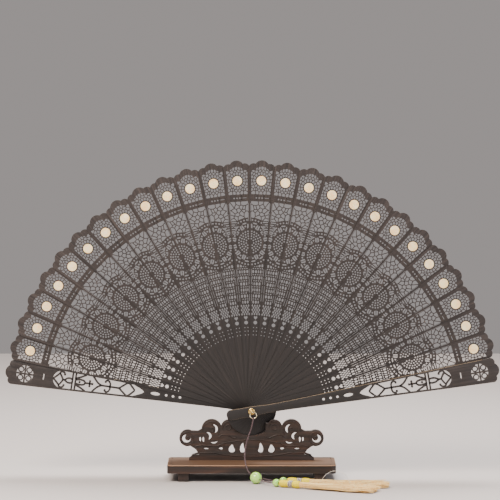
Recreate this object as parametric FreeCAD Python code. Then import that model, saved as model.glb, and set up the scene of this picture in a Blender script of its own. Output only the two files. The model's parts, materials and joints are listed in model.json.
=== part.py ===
import FreeCAD, Part

import math
import os

# A carved sandalwood brise fan, open, standing in a small pierced walnut stand.
# Millimetres. +X to the right of somebody facing the fan, +Y away from them, +Z up.
# The origin is on the table under the middle of the stand's board.

V = FreeCAD.Vector
os.makedirs("parts", exist_ok=True)

# ---- driving dimensions: the fan ----
leaf_count = 26              # thin leaves between the two guards
stick_pitch = 5.98           # degrees from one stick to the next when the fan is open
fan_tilt = 0.55              # degrees the open fan leans to the left in its notch
fan_radius = 209.4           # rivet axis to the crest of a stick's tip
butt_radius = 21.0           # rivet axis to the rounded end of a butt
leaf_thickness = 0.7
guard_thickness = 2.1
stick_gap = 0.12             # air between neighbouring sticks, taken up by the rivet
leaf_overlap = 0.7           # how far a leaf reaches over its neighbour's edge
shank_width = 8.2            # parallel part of a leaf, near the rivet
butt_roundness = 0.9         # a butt's corner radius, as a share of its half width

# ---- driving dimensions: stick tips ----
crest_bulge = 3.0            # height of the middle lobe over its own chord
crest_width = 10.7           # chord of the middle lobe
side_drop = 2.8              # how far the side lobe falls back along the stick
side_bulge = 1.4             # height of a side lobe over its own chord

# ---- driving dimensions: leaf piercings, places measured from the rivet ----
disc_place = 192.4
disc_radius = 4.0
ribbon_place = 177.9         # middle of the band that two narrow ribbons run along
ribbon_spacing = 3.1         # between the two ribbons
ribbon_slot_width = 0.8
ribbon_slot_length = 1.5
ribbon_slot_side = -2.9      # slots' place across the leaf
heart_place = 77.7
heart_size = 1.5
big_dot_place = 73.6
big_dot_radius = 1.6
small_dot_places = (69.4, 66.4, 63.2)
small_dot_radius = 0.45
small_dot_side = 1.3

# ---- driving dimensions: guards ----
guard_edge = ((0.0, 3.9), (21.0, 3.3), (63.0, 4.8), (104.5, 6.45), (150.0, 8.3))
guard_butt_half = 4.2
guard_tip_half = 10.2
medallion_place = 193.0
medallion_radius = 8.2
medallion_rim = 1.0
medallion_bar = 1.3
guard_slot_length = 5.0
window_bottom = 92.0
window_top = 169.0
window_border = 1.6          # wood left between the window and the guard's edge
crossbar_places = (119.5, 150.5)
crossbar_width = 1.6
oval_place = 82.0
oval_length = 7.9
oval_width = 2.9
guard_dot_places = (72.7, 66.9, 61.0)
guard_dot_radius = 1.1

# ---- driving dimensions: rivet, eyelet, ring ----
pin_radius = 1.5
pin_clearance = 0.05         # radial, in every stick
eyelet_radius = 2.95
eyelet_thickness = 0.8
washer_gap = 0.05
eye_radius = 1.7             # rivet's front eye, middle of its wire
eye_wire = 0.45
ring_radius = 2.75
ring_wire = 0.45
ring_hang = (1.4, -2.8)      # ring's centre from the eye's centre, in x and z

# ---- driving dimensions: stand ----
pivot_height = 56.0
fan_middle_y = 9.0           # the panel and the fan's middle plane stand behind the board's middle
board_length = 140.0
board_depth = 54.0
board_thickness = 7.0
board_corner = 4.0
board_edge_round = 0.8
groove_inset = 3.0
groove_width = 0.8
groove_depth = 0.5
foot_size = 9.0
foot_height = 7.0
foot_inset = 13.5            # board's end to the foot's middle
foot_set_back = 2.0          # board's long edge to the foot
foot_round = 0.6
panel_thickness = 6.0
panel_pivot_height = 42.0    # rivet's height over the board that the panel's outline is drawn for
notch_clearance = 0.3
face_clearance = 0.3         # between the panel's faces and the sticks beside them
tenon_length = 18.0
tenon_thickness = 4.0
tenon_floor = 0.9            # board left between a tenon and the screw's head
tenon_place = 34.0
screw_radius = 1.3
screw_head_radius = 2.6
screw_head_height = 1.6
screw_bite = 6.0             # how far a screw goes into the panel
saddle_half_length = 14.0
saddle_thickness = 4.2       # at its thinnest, under the butts
saddle_clearance = 0.15      # between the butts and the saddle they rest on

# ---- driving dimensions: tassel ----
cord_radius = 0.6
strand_radius = 0.55
jade_radius = 4.9
jade_x = 3.6
jade_stand_off = 9.5         # board's front edge to the jade bead's centre
small_bead_radius = 3.25
bead_bore_clearance = 0.35
front_bead_offset = (16.7, -18.0)    # from the jade bead's centre
back_bead_offset = (22.5, -7.0)
head_radius = 3.2
head_length = 18.5
head_gap = 0.5               # cord seen between a small bead and its head
front_heading = -30.0        # degrees from +X, seen from above
back_heading = -13.0
skirt_length = 66.0
skirt_end_height = 5.0
front_skirt_heading = -19.0
front_skirt_end_half = 12.0
back_skirt_heading = -11.0
back_skirt_end_half = 8.5
slack_height = 2.6           # a cord's middle line where it sags between two beads
table_clearance = 0.1

# ---- worked out from the driving dimensions ----
stick_count = leaf_count + 2
first_angle = 90.0 - stick_pitch * (stick_count - 1) / 2.0 + fan_tilt
leaf_step = leaf_thickness + stick_gap
stack_thickness = 2 * guard_thickness + leaf_count * leaf_step + stick_gap
stack_front = fan_middle_y - stack_thickness / 2.0
stack_back = fan_middle_y + stack_thickness / 2.0
board_bottom = foot_height
board_top = board_bottom + board_thickness
hole_radius = pin_radius + pin_clearance
tenon_depth = board_thickness - screw_head_height - tenon_floor
panel_stretch = (pivot_height - board_top) / panel_pivot_height
panel_front = fan_middle_y - panel_thickness / 2.0
panel_back = fan_middle_y + panel_thickness / 2.0
notch_place = fan_radius - crest_bulge
pitch_radians = math.radians(stick_pitch)


def save(shape, name):
    shape.exportStep("parts/" + name + ".step")


def leaf_half_width(u):
    """Half the width of a leaf at a distance u from the rivet."""
    return max(shank_width, pitch_radians * u + leaf_overlap) / 2.0


def point(u, w):
    """A point of a stick lying along +X, with its width along Z."""
    return V(u, 0, w)


def line(a, b):
    return Part.LineSegment(a, b).toShape()


def bulged(a, b, bulge):
    """An arc from a to b that stands out by bulge to the right of the way from a to b."""
    way = b.sub(a)
    side = V(way.z, 0, -way.x)
    side.normalize()
    middle = a.add(b).multiply(0.5)
    return Part.Arc(a, middle.add(side.multiply(bulge)), b).toShape()


def butt_edges(half):
    """The rounded butt, from the lower edge of the stick to its upper edge."""
    corner = half * butt_roundness
    flat = half - corner
    end = math.sqrt(butt_radius ** 2 - flat ** 2)
    shoulder = end - corner
    lower = [point(-shoulder, -half), point(-end, -flat)]
    upper = [point(-end, flat), point(-shoulder, half)]
    diagonal = math.sqrt(0.5) * corner
    low_mid = point(-shoulder - diagonal, -flat - diagonal)
    high_mid = point(-shoulder - diagonal, flat + diagonal)
    edges = [
        Part.Arc(lower[0], low_mid, lower[1]).toShape(),
        Part.Arc(lower[1], point(-butt_radius, 0), upper[0]).toShape(),
        Part.Arc(upper[0], high_mid, upper[1]).toShape(),
    ]
    return edges, lower[0], upper[1]


def tip_edges(half):
    """The three-lobed tip, from the upper edge of the stick to its lower edge."""
    crest = crest_width / 2.0
    outer = point(notch_place - side_drop, half)
    edges = [
        bulged(outer, point(notch_place, crest), -side_bulge),
        bulged(point(notch_place, crest), point(notch_place, -crest), -crest_bulge),
        bulged(point(notch_place, -crest), point(outer.x, -half), -side_bulge),
    ]
    return edges, outer, point(outer.x, -half)


def circle_wire(u, w, radius):
    return Part.Wire(Part.Circle(point(u, w), V(0, -1, 0), radius).toShape())


def slot_wire(u, w, along, across):
    """A slot with square ends, 'along' the stick and 'across' it."""
    a = along / 2.0
    b = across / 2.0
    corners = [point(u - a, w - b), point(u + a, w - b), point(u + a, w + b), point(u - a, w + b)]
    return Part.makePolygon(corners + corners[:1])


def heart_wire(u, size):
    """A heart-shaped hole with its point towards the rivet."""
    low = point(u - 1.6 * size, 0)
    dip = point(u + 0.5 * size, 0)
    edges = []
    for side in (1, -1):
        shoulder = point(u + 0.1 * size, side * 1.1 * size)
        edges.append([line(low, shoulder),
                      Part.Arc(shoulder, point(u + size, side * 0.6 * size), dip).toShape()])
    return Part.Wire(edges[0] + [edges[1][1], edges[1][0]])


def plate(outline, holes, thickness):
    """A flat stick cut out of a board, its front face at y = 0."""
    face = Part.Face([Part.Wire(outline)] + holes)
    face.validate()
    return face.extrude(V(0, thickness, 0))


def leaf_plate():
    half = shank_width / 2.0
    widen = (shank_width - leaf_overlap) / pitch_radians
    butt, low_start, high_start = butt_edges(half)
    tip_place = notch_place - side_drop
    tip, high_end, low_end = tip_edges(leaf_half_width(tip_place))
    outline = butt + [line(high_start, point(widen, half)), line(point(widen, half), high_end)]
    outline += tip + [line(low_end, point(widen, -half)), line(point(widen, -half), low_start)]
    holes = [circle_wire(0, 0, hole_radius)]
    holes.append(circle_wire(disc_place, 0, disc_radius))
    for side in (-1, 1):
        holes.append(slot_wire(ribbon_place + side * ribbon_spacing / 2.0, ribbon_slot_side,
                               ribbon_slot_length, ribbon_slot_width))
        for place in small_dot_places:
            holes.append(circle_wire(place, side * small_dot_side, small_dot_radius))
    holes.append(heart_wire(heart_place, heart_size))
    holes.append(circle_wire(big_dot_place, 0, big_dot_radius))
    return plate(outline, holes, leaf_thickness)


def inlay_disc():
    face = Part.Face(circle_wire(disc_place, 0, disc_radius))
    return face.extrude(V(0, leaf_thickness, 0))


def guard_half_width(u):
    """Half the width of a guard, straight between the places where it is given."""
    places = ((-butt_radius, guard_butt_half),) + guard_edge
    places += ((notch_place - side_drop, guard_tip_half),)
    for (u0, w0), (u1, w1) in zip(places, places[1:]):
        if u <= u1:
            return w0 + (w1 - w0) * (u - u0) / (u1 - u0)
    return guard_tip_half


def window_part(low, high):
    """One opening of the guard's long window: the lowest is pointed, the highest arched."""
    def edge(u):
        return point(u, guard_half_width(u) - window_border)
    foot = point(low, 0) if low == window_bottom else edge(low)
    shoulder = edge(high)
    if high == window_top:
        shoulder = point(high - shoulder.z, shoulder.z)
    reach = shoulder.x - low
    upper = [foot, edge(low + reach / 3.0), edge(low + reach / 1.5), shoulder]
    lower = [point(p.x, -p.z) for p in upper]
    edges = [line(a, b) for a, b in zip(upper, upper[1:])]
    if high == window_top:
        edges.append(Part.Arc(shoulder, point(high, 0), lower[-1]).toShape())
    else:
        edges.append(line(shoulder, lower[-1]))
    edges += [line(a, b) for a, b in zip(lower[::-1], lower[-2::-1])]
    if low != window_bottom:
        edges.append(line(lower[0], foot))
    return Part.Wire(edges)


def medallion_holes():
    """Four quarter openings between the medallion's rim and its cross bars."""
    wires = []
    radius = medallion_radius - medallion_rim
    bar = medallion_bar / 2.0
    reach = math.sqrt(radius ** 2 - bar ** 2)
    for su in (-1, 1):
        for sw in (-1, 1):
            corner = point(medallion_place + su * bar, sw * bar)
            far_u = point(medallion_place + su * reach, sw * bar)
            far_w = point(medallion_place + su * bar, sw * reach)
            bend = radius * math.sqrt(0.5)
            middle = point(medallion_place + su * bend, sw * bend)
            wires.append(Part.Wire([line(corner, far_u),
                                    Part.Arc(far_u, middle, far_w).toShape(),
                                    line(far_w, corner)]))
    return wires


def guard_plate():
    butt, low_start, high_start = butt_edges(guard_butt_half)
    tip, high_end, low_end = tip_edges(guard_tip_half)
    upper = [high_start] + [point(u, w) for u, w in guard_edge] + [high_end]
    lower = [point(p.x, -p.z) for p in reversed(upper)]
    sides = []
    for run in (upper, lower):
        curve = Part.BSplineCurve()
        curve.interpolate(run)
        sides.append(curve.toShape())
    outline = butt + [sides[0]] + tip + [sides[1]]
    holes = [circle_wire(0, 0, hole_radius)]
    holes += medallion_holes()
    holes.append(slot_wire(ribbon_place, 0, ribbon_slot_width, guard_slot_length))
    bar = crossbar_width / 2.0
    starts = [window_bottom] + [u + bar for u in crossbar_places]
    ends = [u - bar for u in crossbar_places] + [window_top]
    holes += [window_part(low, high) for low, high in zip(starts, ends)]
    oval = Part.Ellipse(point(oval_place + oval_length / 2.0, 0),
                        point(oval_place, oval_width / 2.0), point(oval_place, 0))
    holes.append(Part.Wire(oval.toShape()))
    for place in guard_dot_places:
        holes.append(circle_wire(place, 0, guard_dot_radius))
    return plate(outline, holes, guard_thickness)


def set_in_fan(shape, number, front):
    """Turn a stick to its place in the open fan: number 0 is the front guard."""
    placed = shape.copy()
    placed.rotate(V(0, 0, 0), V(0, -1, 0), first_angle + number * stick_pitch)
    placed.translate(V(0, front, pivot_height))
    return placed


def fan_sticks():
    guard = guard_plate()
    save(set_in_fan(guard, 0, stack_front), "front_guard")
    save(set_in_fan(guard, stick_count - 1, stack_back - guard_thickness), "back_guard")
    leaf = leaf_plate()
    disc = inlay_disc()
    for number in range(1, leaf_count + 1):
        front = stack_front + guard_thickness + stick_gap + (number - 1) * leaf_step
        pieces = [set_in_fan(leaf, number, front), set_in_fan(disc, number, front)]
        save(Part.makeCompound(pieces), "leaf_%02d" % number)


def rivet_pieces():
    front_face = stack_front - washer_gap
    back_face = stack_back + washer_gap
    pin_front = front_face - eyelet_thickness
    pin_back = back_face + eyelet_thickness
    axis = V(0, 1, 0)
    pin = Part.makeCylinder(pin_radius, pin_back - pin_front, V(0, pin_front, pivot_height), axis)
    eye_centre = V(0, pin_front - eye_radius + eye_wire / 2.0, pivot_height)
    eye = Part.makeTorus(eye_radius, eye_wire, eye_centre, V(1, 0, 0))
    save(pin.fuse(eye), "rivet_pin")
    for name, face in (("front_eyelet", pin_front), ("back_washer", back_face)):
        disc = Part.makeCylinder(eyelet_radius, eyelet_thickness, V(0, face, pivot_height), axis)
        rim = [e for e in disc.Edges if isinstance(e.Curve, Part.Circle)]
        disc = disc.makeFillet(eyelet_thickness * 0.3, rim)
        bore = Part.makeCylinder(pin_radius, eyelet_thickness, V(0, face, pivot_height), axis)
        save(disc.cut(bore), name)
    centre = eye_centre.add(V(ring_hang[0], 0, ring_hang[1]))
    save(Part.makeTorus(ring_radius, ring_wire, centre, axis), "tassel_ring")
    return V(centre.x, centre.y, centre.z - ring_radius - ring_wire)


# ---- the stand ----

def rounded_board(length, depth, corner, z, height):
    box = Part.makeBox(length, depth, height, V(-length / 2.0, -depth / 2.0, z))
    upright = [e for e in box.Edges if abs(e.tangentAt(e.FirstParameter).z) > 0.9]
    return box.makeFillet(corner, upright)


def screw_places():
    return (-tenon_place, tenon_place)


def base_board():
    board = rounded_board(board_length, board_depth, board_corner, board_bottom, board_thickness)
    top = [e for e in board.Edges if e.BoundBox.ZMin > board_top - 0.001]
    board = board.makeFillet(board_edge_round, top)
    outer = rounded_board(board_length - 2 * groove_inset, board_depth - 2 * groove_inset,
                          board_corner, board_top - groove_depth, groove_depth)
    inset = 2 * (groove_inset + groove_width)
    inner = rounded_board(board_length - inset, board_depth - inset, board_corner - groove_width,
                          board_top - groove_depth, groove_depth)
    board = board.cut(outer.cut(inner))
    for x in screw_places():
        board = board.cut(tenon(x))
        shank = Part.makeCylinder(screw_radius, board_thickness, V(x, fan_middle_y, board_bottom))
        head = Part.makeCylinder(screw_head_radius, screw_head_height,
                                 V(x, fan_middle_y, board_bottom))
        board = board.cut(shank).cut(head)
    save(board, "base_board")


def tenon(x):
    return Part.makeBox(tenon_length, tenon_thickness, tenon_depth,
                        V(x - tenon_length / 2.0, fan_middle_y - tenon_thickness / 2.0,
                          board_top - tenon_depth))


def stand_feet():
    feet = []
    for sx in (-1, 1):
        for sy in (-1, 1):
            x = sx * (board_length / 2.0 - foot_inset)
            y = sy * (board_depth / 2.0 - foot_set_back - foot_size / 2.0)
            foot = Part.makeBox(foot_size, foot_size, foot_height,
                                V(x - foot_size / 2.0, y - foot_size / 2.0, 0))
            rim = [e for e in foot.Edges if e.BoundBox.ZMax < foot_height - 0.001
                   or e.BoundBox.ZLength > 0.1]
            feet.append(foot.makeFillet(foot_round, rim))
    save(Part.makeCompound(feet), "stand_feet")


def panel_screws():
    screws = []
    for x in screw_places():
        tip = board_top - tenon_depth + screw_bite
        shank = Part.makeCylinder(screw_radius, tip - board_bottom,
                                  V(x, fan_middle_y, board_bottom))
        head = Part.makeCylinder(screw_head_radius, screw_head_height,
                                 V(x, fan_middle_y, board_bottom))
        screws.append(shank.fuse(head))
    shape = Part.makeCompound(screws)
    save(shape, "panel_screws")
    return shape


# Outline of the panel's right half: scroll discs (x, height over the board, radius) and the
# body between them (x, height). The left half mirrors it. Heights stretch with the rivet's.
scroll_discs = ((53.7, 18.6, 6.8), (33.4, 25.6, 8.6), (19.3, 27.6, 6.2))
panel_body = ((0.0, 0.0), (52.3, 0.0), (52.3, 2.0), (50.4, 3.2), (43.6, 4.4), (46.8, 9.2),
              (51.5, 12.2), (51.5, 24.6), (45.0, 24.4), (36.0, 29.0), (25.8, 27.4),
              (19.0, 31.0), (0.0, 31.0))
# Curved piercings: x, height, radius, start and end in degrees, width at the middle.
crescents = ((54.0, 18.4, 3.0, -185.0, 105.0, 2.8),
             (33.4, 25.8, 4.2, 88.0, 238.0, 2.0),
             (37.8, 19.8, 3.3, 70.0, 250.0, 2.1),
             (31.8, 18.2, 3.9, -150.0, -40.0, 1.7))
# Other piercings: x, height, half width, half height.
prongs = ((40.5, 17.2, 0.75, 2.4), (43.1, 17.4, 0.75, 2.0))
lozenges = ((38.3, 9.5, 2.2, 0.8), (25.8, 9.6, 1.7, 1.1))
flames = ((16.6, 9.6, 2.7, 3.5), (7.7, 10.2, 2.1, 4.3))
# A flame's outline, in half widths and half heights.
flame_outline = ((-0.95, -0.35), (-0.55, -0.95), (0.55, -0.95), (0.95, -0.35), (0.7, 0.4),
                 (-0.2, 1.0), (-0.55, 0.4))


def on_panel(x, h):
    """A point on the panel's front face."""
    return V(x, panel_front, board_top + h * panel_stretch)


def panel_prism(wire):
    return Part.Face(wire).extrude(V(0, panel_thickness, 0))


def crescent(x, h, radius, start, end, width, side):
    """A curved slot that tapers to a point at both ends."""
    centre = on_panel(side * x, h)

    def at(angle, r):
        a = math.radians(angle)
        return centre.add(V(side * r * math.cos(a), 0, r * math.sin(a)))
    middle = (start + end) / 2.0
    outer = Part.Arc(at(start, radius), at(middle, radius + width / 2.0), at(end, radius))
    inner = Part.Arc(at(end, radius), at(middle, radius - width / 2.0), at(start, radius))
    return panel_prism(Part.Wire([outer.toShape(), inner.toShape()]))


def smooth_opening(x, h, half, tall, outline, side):
    """A closed smooth opening; its outline is given in half widths and half heights."""
    centre = on_panel(side * x, h)
    ring = [centre.add(V(side * a * half, 0, b * tall)) for a, b in outline]
    curve = Part.BSplineCurve()
    curve.interpolate(ring, True)
    return panel_prism(Part.Wire(curve.toShape()))


def panel_piercings():
    round_outline = ((-1.0, 0.0), (0.0, -1.0), (1.0, 0.0), (0.0, 1.0))
    pieces = []
    for side in (-1, 1):
        pieces += [crescent(*values, side) for values in crescents]
        for values in prongs + lozenges:
            pieces.append(smooth_opening(*values, round_outline, side))
        for values in flames:
            pieces.append(smooth_opening(*values, flame_outline, side))
    return pieces


def caught_sticks():
    """Sticks whose layer lies within the panel's thickness, as steps from the middle."""
    reach = panel_thickness / 2.0 + face_clearance + leaf_thickness / 2.0
    return [n - (stick_count - 1) / 2.0 for n in range(1, leaf_count + 1)
            if abs(n - (stick_count - 1) / 2.0) * leaf_step < reach]


def notch_half_width():
    angle = math.radians(max(caught_sticks()) * stick_pitch + abs(fan_tilt))
    return (butt_radius * math.sin(angle) + shank_width / 2.0 * math.cos(angle)
            + notch_clearance)


def carved_panel(screws):
    pieces = []
    for side in (-1, 1):
        body = [on_panel(side * x, h) for x, h in panel_body]
        pieces.append(panel_prism(Part.makePolygon(body + body[:1])))
        for x, h, radius in scroll_discs:
            centre = on_panel(side * x, h)
            pieces.append(Part.makeCylinder(radius, panel_thickness, centre, V(0, 1, 0)))
    panel = pieces[0].fuse(pieces[1:]).removeSplitter()
    half = notch_half_width()
    bottom = pivot_height - butt_radius - notch_clearance
    deep = pivot_height - math.sqrt((butt_radius + notch_clearance) ** 2 - half ** 2)
    left = V(-half, panel_front, deep)
    right = V(half, panel_front, deep)
    high_left = V(-half, panel_front, pivot_height)
    high_right = V(half, panel_front, pivot_height)
    notch = Part.Wire([
        Part.Arc(left, V(0, panel_front, bottom), right).toShape(),
        line(right, high_right),
        line(high_right, high_left),
        line(high_left, left),
    ])
    panel = panel.cut([panel_prism(notch)] + panel_piercings())
    for x in screw_places():
        panel = panel.fuse(tenon(x))
    panel = panel.removeSplitter().cut(screws)
    save(panel, "carved_panel")


def rear_saddle():
    """A block behind the panel, hollowed for the butts that stand behind it."""
    seat = butt_radius + saddle_clearance
    low = pivot_height - seat - saddle_thickness
    depth = stack_back - panel_back
    high = pivot_height - math.sqrt(seat ** 2 - saddle_half_length ** 2)
    block = Part.makeBox(2 * saddle_half_length, depth, high - low,
                         V(-saddle_half_length, panel_back, low))
    swept = Part.makeCylinder(seat, depth, V(0, panel_back, pivot_height), V(0, 1, 0))
    save(block.cut(swept), "rear_saddle")


# ---- the tassel ----

def on_table(plan, radius):
    """The centre of a round thing of this radius that lies on the table."""
    return V(plan[0], plan[1], radius + table_clearance)


def heading(angle):
    a = math.radians(angle)
    return V(math.cos(a), math.sin(a), 0)


def route_path(points):
    """Straight runs joined by the largest tangent arcs that each pair of runs allows."""
    edges = []
    radii = []
    last = points[0]
    for before, corner, after in zip(points, points[1:], points[2:]):
        back = before.sub(corner)
        forth = after.sub(corner)
        reach = 0.45 * min(back.Length, forth.Length)
        half_turn = (math.pi - back.getAngle(forth)) / 2.0
        radii.append(reach / math.tan(half_turn))
        back.normalize()
        forth.normalize()
        start = corner.add(V(back).multiply(reach))
        end = corner.add(V(forth).multiply(reach))
        inward = back.add(forth)
        inward.normalize()
        depth = radii[-1] * (1.0 / math.cos(half_turn) - 1.0)
        middle = corner.add(inward.multiply(depth))
        edges.append(Part.LineSegment(last, start).toShape())
        edges.append(Part.Arc(start, middle, end).toShape())
        last = end
    edges.append(Part.LineSegment(last, points[-1]).toShape())
    return Part.Wire(edges), radii


def tube(points, radius, name):
    """A cord's solid along its route, with its radii and volume printed as a test."""
    path, radii = route_path(points)
    way = points[1].sub(points[0])
    section = Part.Wire(Part.Circle(points[0], way, radius).toShape())
    shape = path.makePipeShell([section], True, False)
    expected = math.pi * radius ** 2 * path.Length
    print(name, "length %.1f mm" % path.Length,
          "radii", " ".join("%.1f" % r for r in radii),
          "volume / (section x length) = %.4f" % (shape.Volume / expected),
          "valid", shape.isValid())
    save(shape, name)


def turned(profile, base, axis, name):
    """A piece turned about its axis from a closed profile drawn in X and Z."""
    solid = Part.Face(Part.Wire(profile)).revolve(V(0, 0, 0), V(0, 0, 1), 360)
    solid.Placement = FreeCAD.Placement(base, FreeCAD.Rotation(V(0, 0, 1), axis))
    save(solid, name)


def bead(centre, radius, way, name, bore):
    end = math.sqrt(radius ** 2 - bore ** 2)
    low = V(bore, 0, -end)
    high = V(bore, 0, end)
    profile = [Part.Arc(low, V(radius, 0, 0), high).toShape(), line(high, low)]
    turned(profile, centre, way, name)


def tassel_head(base, angle, name, bore):
    """A wrapped head: a barrel that is a little fuller in the middle, on its side."""
    axis = heading(angle)
    near = [V(bore, 0, 0), V(head_radius * 0.72, 0, 0)]
    far = [V(head_radius * 0.9, 0, head_length), V(bore, 0, head_length)]
    bulge = Part.Arc(near[1], V(head_radius, 0, head_length * 0.5), far[0]).toShape()
    turned([line(*near), bulge, line(*far), line(far[1], near[0])], base, axis, name)
    return base.add(V(axis).multiply(head_length))


def skirt(start, angle, end_half, name):
    """A plain closed solid for a silk skirt that lies spread on the table."""
    axis = heading(angle)
    side = V(-axis.y, axis.x, 0)
    root = head_radius * 0.9
    sections = []
    for share in (0.0, 0.35, 1.0):
        spread = share ** 0.8
        half = root + (end_half - root) * spread
        tall = root + (skirt_end_height / 2.0 - root) * spread
        centre = start.add(V(axis).multiply(share * skirt_length))
        lift = (start.z - table_clearance - root) * (1 - share)
        centre.z = tall + table_clearance + lift
        ring = []
        for i in range(12):
            a = 2 * math.pi * i / 12
            ring.append(centre.add(V(side).multiply(half * math.cos(a)))
                        .add(V(0, 0, tall * math.sin(a))))
        curve = Part.BSplineCurve()
        curve.interpolate(ring, True)
        sections.append(Part.Wire(curve.toShape()))
    save(Part.makeLoft(sections, True), name)


def head_start(bead_centre, angle):
    """Where a head begins, beyond its bead, at the height at which it lies on the table."""
    start = bead_centre.add(heading(angle).multiply(small_bead_radius + head_gap))
    start.z = head_radius + table_clearance
    return start


def sag(a, b):
    """The middle of a cord that sags between two points."""
    return V((a.x + b.x) / 2.0, (a.y + b.y) / 2.0, slack_height)


# The cord's fall, shaped by hand so that it clears the board's front edge: x, then how much of
# the way from the ring to the jade bead is done in y and in z.
cord_fall = ((0.5, 0.037, 0.123), (-2.0, 0.115, 0.273), (-4.3, 0.228, 0.423),
             (-5.5, 0.404, 0.559), (-5.7, 0.651, 0.668), (-4.7, 0.84, 0.786),
             (-2.2, 0.967, 0.918))


def tassel(cord_start):
    jade_y = -board_depth / 2.0 - jade_stand_off
    jade = on_table((jade_x, jade_y), jade_radius)
    front_bead = on_table((jade_x + front_bead_offset[0], jade_y + front_bead_offset[1]),
                          small_bead_radius)
    back_bead = on_table((jade_x + back_bead_offset[0], jade_y + back_bead_offset[1]),
                         small_bead_radius)
    front_head = head_start(front_bead, front_heading)
    back_head = head_start(back_bead, back_heading)
    front_end = front_head.add(heading(front_heading).multiply(head_length * 0.6))
    back_end = back_head.add(heading(back_heading).multiply(head_length * 0.6))
    fall = [cord_start]
    for x, share_y, share_z in cord_fall:
        fall.append(V(x, cord_start.y + (jade.y - cord_start.y) * share_y,
                      cord_start.z + (jade.z - cord_start.z) * share_z))
    front_sag = sag(jade, front_bead)
    tube(fall + [jade, front_sag, front_bead, front_head, front_end], cord_radius, "tassel_cord")
    bead(jade, jade_radius, front_sag.sub(fall[-1]), "jade_bead",
         cord_radius + bead_bore_clearance)
    bead(front_bead, small_bead_radius, front_head.sub(front_sag), "front_small_bead",
         cord_radius + bead_bore_clearance)
    branch = jade.add(V(jade_radius, 0.6, -0.4))
    back_sag = sag(branch, back_bead)
    tube([branch, back_sag, back_bead, back_head, back_end], strand_radius, "second_strand")
    bead(back_bead, small_bead_radius, back_head.sub(back_sag), "back_small_bead",
         strand_radius + bead_bore_clearance)
    front_tail = tassel_head(front_head, front_heading, "front_tassel_head", cord_radius)
    back_tail = tassel_head(back_head, back_heading, "back_tassel_head", strand_radius)
    skirt(front_tail, front_skirt_heading, front_skirt_end_half, "front_tassel_skirt")
    skirt(back_tail, back_skirt_heading, back_skirt_end_half, "back_tassel_skirt")


fan_sticks()
ring_bottom = rivet_pieces()
base_board()
stand_feet()
carved_panel(panel_screws())
rear_saddle()
tassel(ring_bottom)
print("sticks", stick_count, "first angle %.3f" % first_angle,
      "stack %.2f thick, y %.2f to %.2f" % (stack_thickness, stack_front, stack_back),
      "notch half width %.2f" % notch_half_width())
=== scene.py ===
import json
import math
import random

import bmesh
import bpy
from mathutils import Matrix, Vector

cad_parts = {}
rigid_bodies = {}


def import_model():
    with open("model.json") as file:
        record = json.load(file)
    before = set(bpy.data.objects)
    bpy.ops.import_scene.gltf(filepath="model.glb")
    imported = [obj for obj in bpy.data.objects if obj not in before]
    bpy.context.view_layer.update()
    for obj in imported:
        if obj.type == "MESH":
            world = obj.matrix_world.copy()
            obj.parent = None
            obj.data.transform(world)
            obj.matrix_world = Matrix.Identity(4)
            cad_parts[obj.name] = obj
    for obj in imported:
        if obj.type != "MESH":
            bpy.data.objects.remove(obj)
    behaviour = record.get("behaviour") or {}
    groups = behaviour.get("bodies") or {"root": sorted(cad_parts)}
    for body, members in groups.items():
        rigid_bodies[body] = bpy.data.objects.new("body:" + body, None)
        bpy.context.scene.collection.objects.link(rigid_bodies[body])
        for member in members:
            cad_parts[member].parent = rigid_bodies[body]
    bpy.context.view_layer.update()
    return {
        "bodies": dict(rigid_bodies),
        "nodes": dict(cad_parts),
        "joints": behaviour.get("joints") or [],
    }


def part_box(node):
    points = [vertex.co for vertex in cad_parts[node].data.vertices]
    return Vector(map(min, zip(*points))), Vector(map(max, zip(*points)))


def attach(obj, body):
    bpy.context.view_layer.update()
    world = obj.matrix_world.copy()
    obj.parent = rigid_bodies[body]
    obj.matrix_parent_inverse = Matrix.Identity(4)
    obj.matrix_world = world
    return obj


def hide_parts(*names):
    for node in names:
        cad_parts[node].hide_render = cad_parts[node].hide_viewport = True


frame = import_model()

# Lengths below are in millimetres unless a comment says metres; MM turns them into metres.
MM = 0.001
TO_METRES = Matrix.Scale(MM, 4)


def box_mm(node):
    """A node's lowest and highest corners, in millimetres."""
    low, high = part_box(node)
    return low / MM, high / MM


# ---- what the frame says about the fan; PIVOT is in metres ----
JOINTS = {joint["name"]: joint for joint in frame["joints"]}
PIVOT = Vector(JOINTS["fan_fold"]["pos_m"])
LEAF_COUNT = sum(name.startswith("leaf_") for name in frame["bodies"])
LEAVES = [(number, "leaf_%02d" % number) for number in range(1, LEAF_COUNT + 1)]
LEAF_THICKNESS = (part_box("leaf_01")[1].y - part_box("leaf_01")[0].y) / MM
FRONT_TRAVEL = max(JOINTS["fan_fold"]["range_deg"])
BACK_TRAVEL = -min(JOINTS["back_guard_turn"]["range_deg"])
STICK_PITCH = (FRONT_TRAVEL + BACK_TRAVEL) / (LEAF_COUNT + 1)
FIRST_ANGLE = 90.0 - FRONT_TRAVEL
BOARD_TOP = box_mm("base_board")[1].z

# ---- sizes of a stick, places measured from the rivet ----
FAN_RADIUS = 209.4
BUTT_RADIUS = 21.0
SHANK_WIDTH = 8.2
LEAF_OVERLAP = 0.7
CREST_BULGE = 3.0
CREST_WIDTH = 10.7
SIDE_DROP = 2.8
SIDE_BULGE = 1.4
BUTT_ROUNDNESS = 0.9
RIVET_HOLE = 1.55
DISC_PLACE = 192.4
DISC_RADIUS = 4.0
NOTCH_PLACE = FAN_RADIUS - CREST_BULGE


# ---- small helpers ----

def srgb(code):
    """An sRGB hex colour as linear RGBA."""
    parts = [int(code[i:i + 2], 16) / 255 for i in (1, 3, 5)]
    linear = [p / 12.92 if p <= 0.04045 else ((p + 0.055) / 1.055) ** 2.4 for p in parts]
    return (*linear, 1.0)


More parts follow.
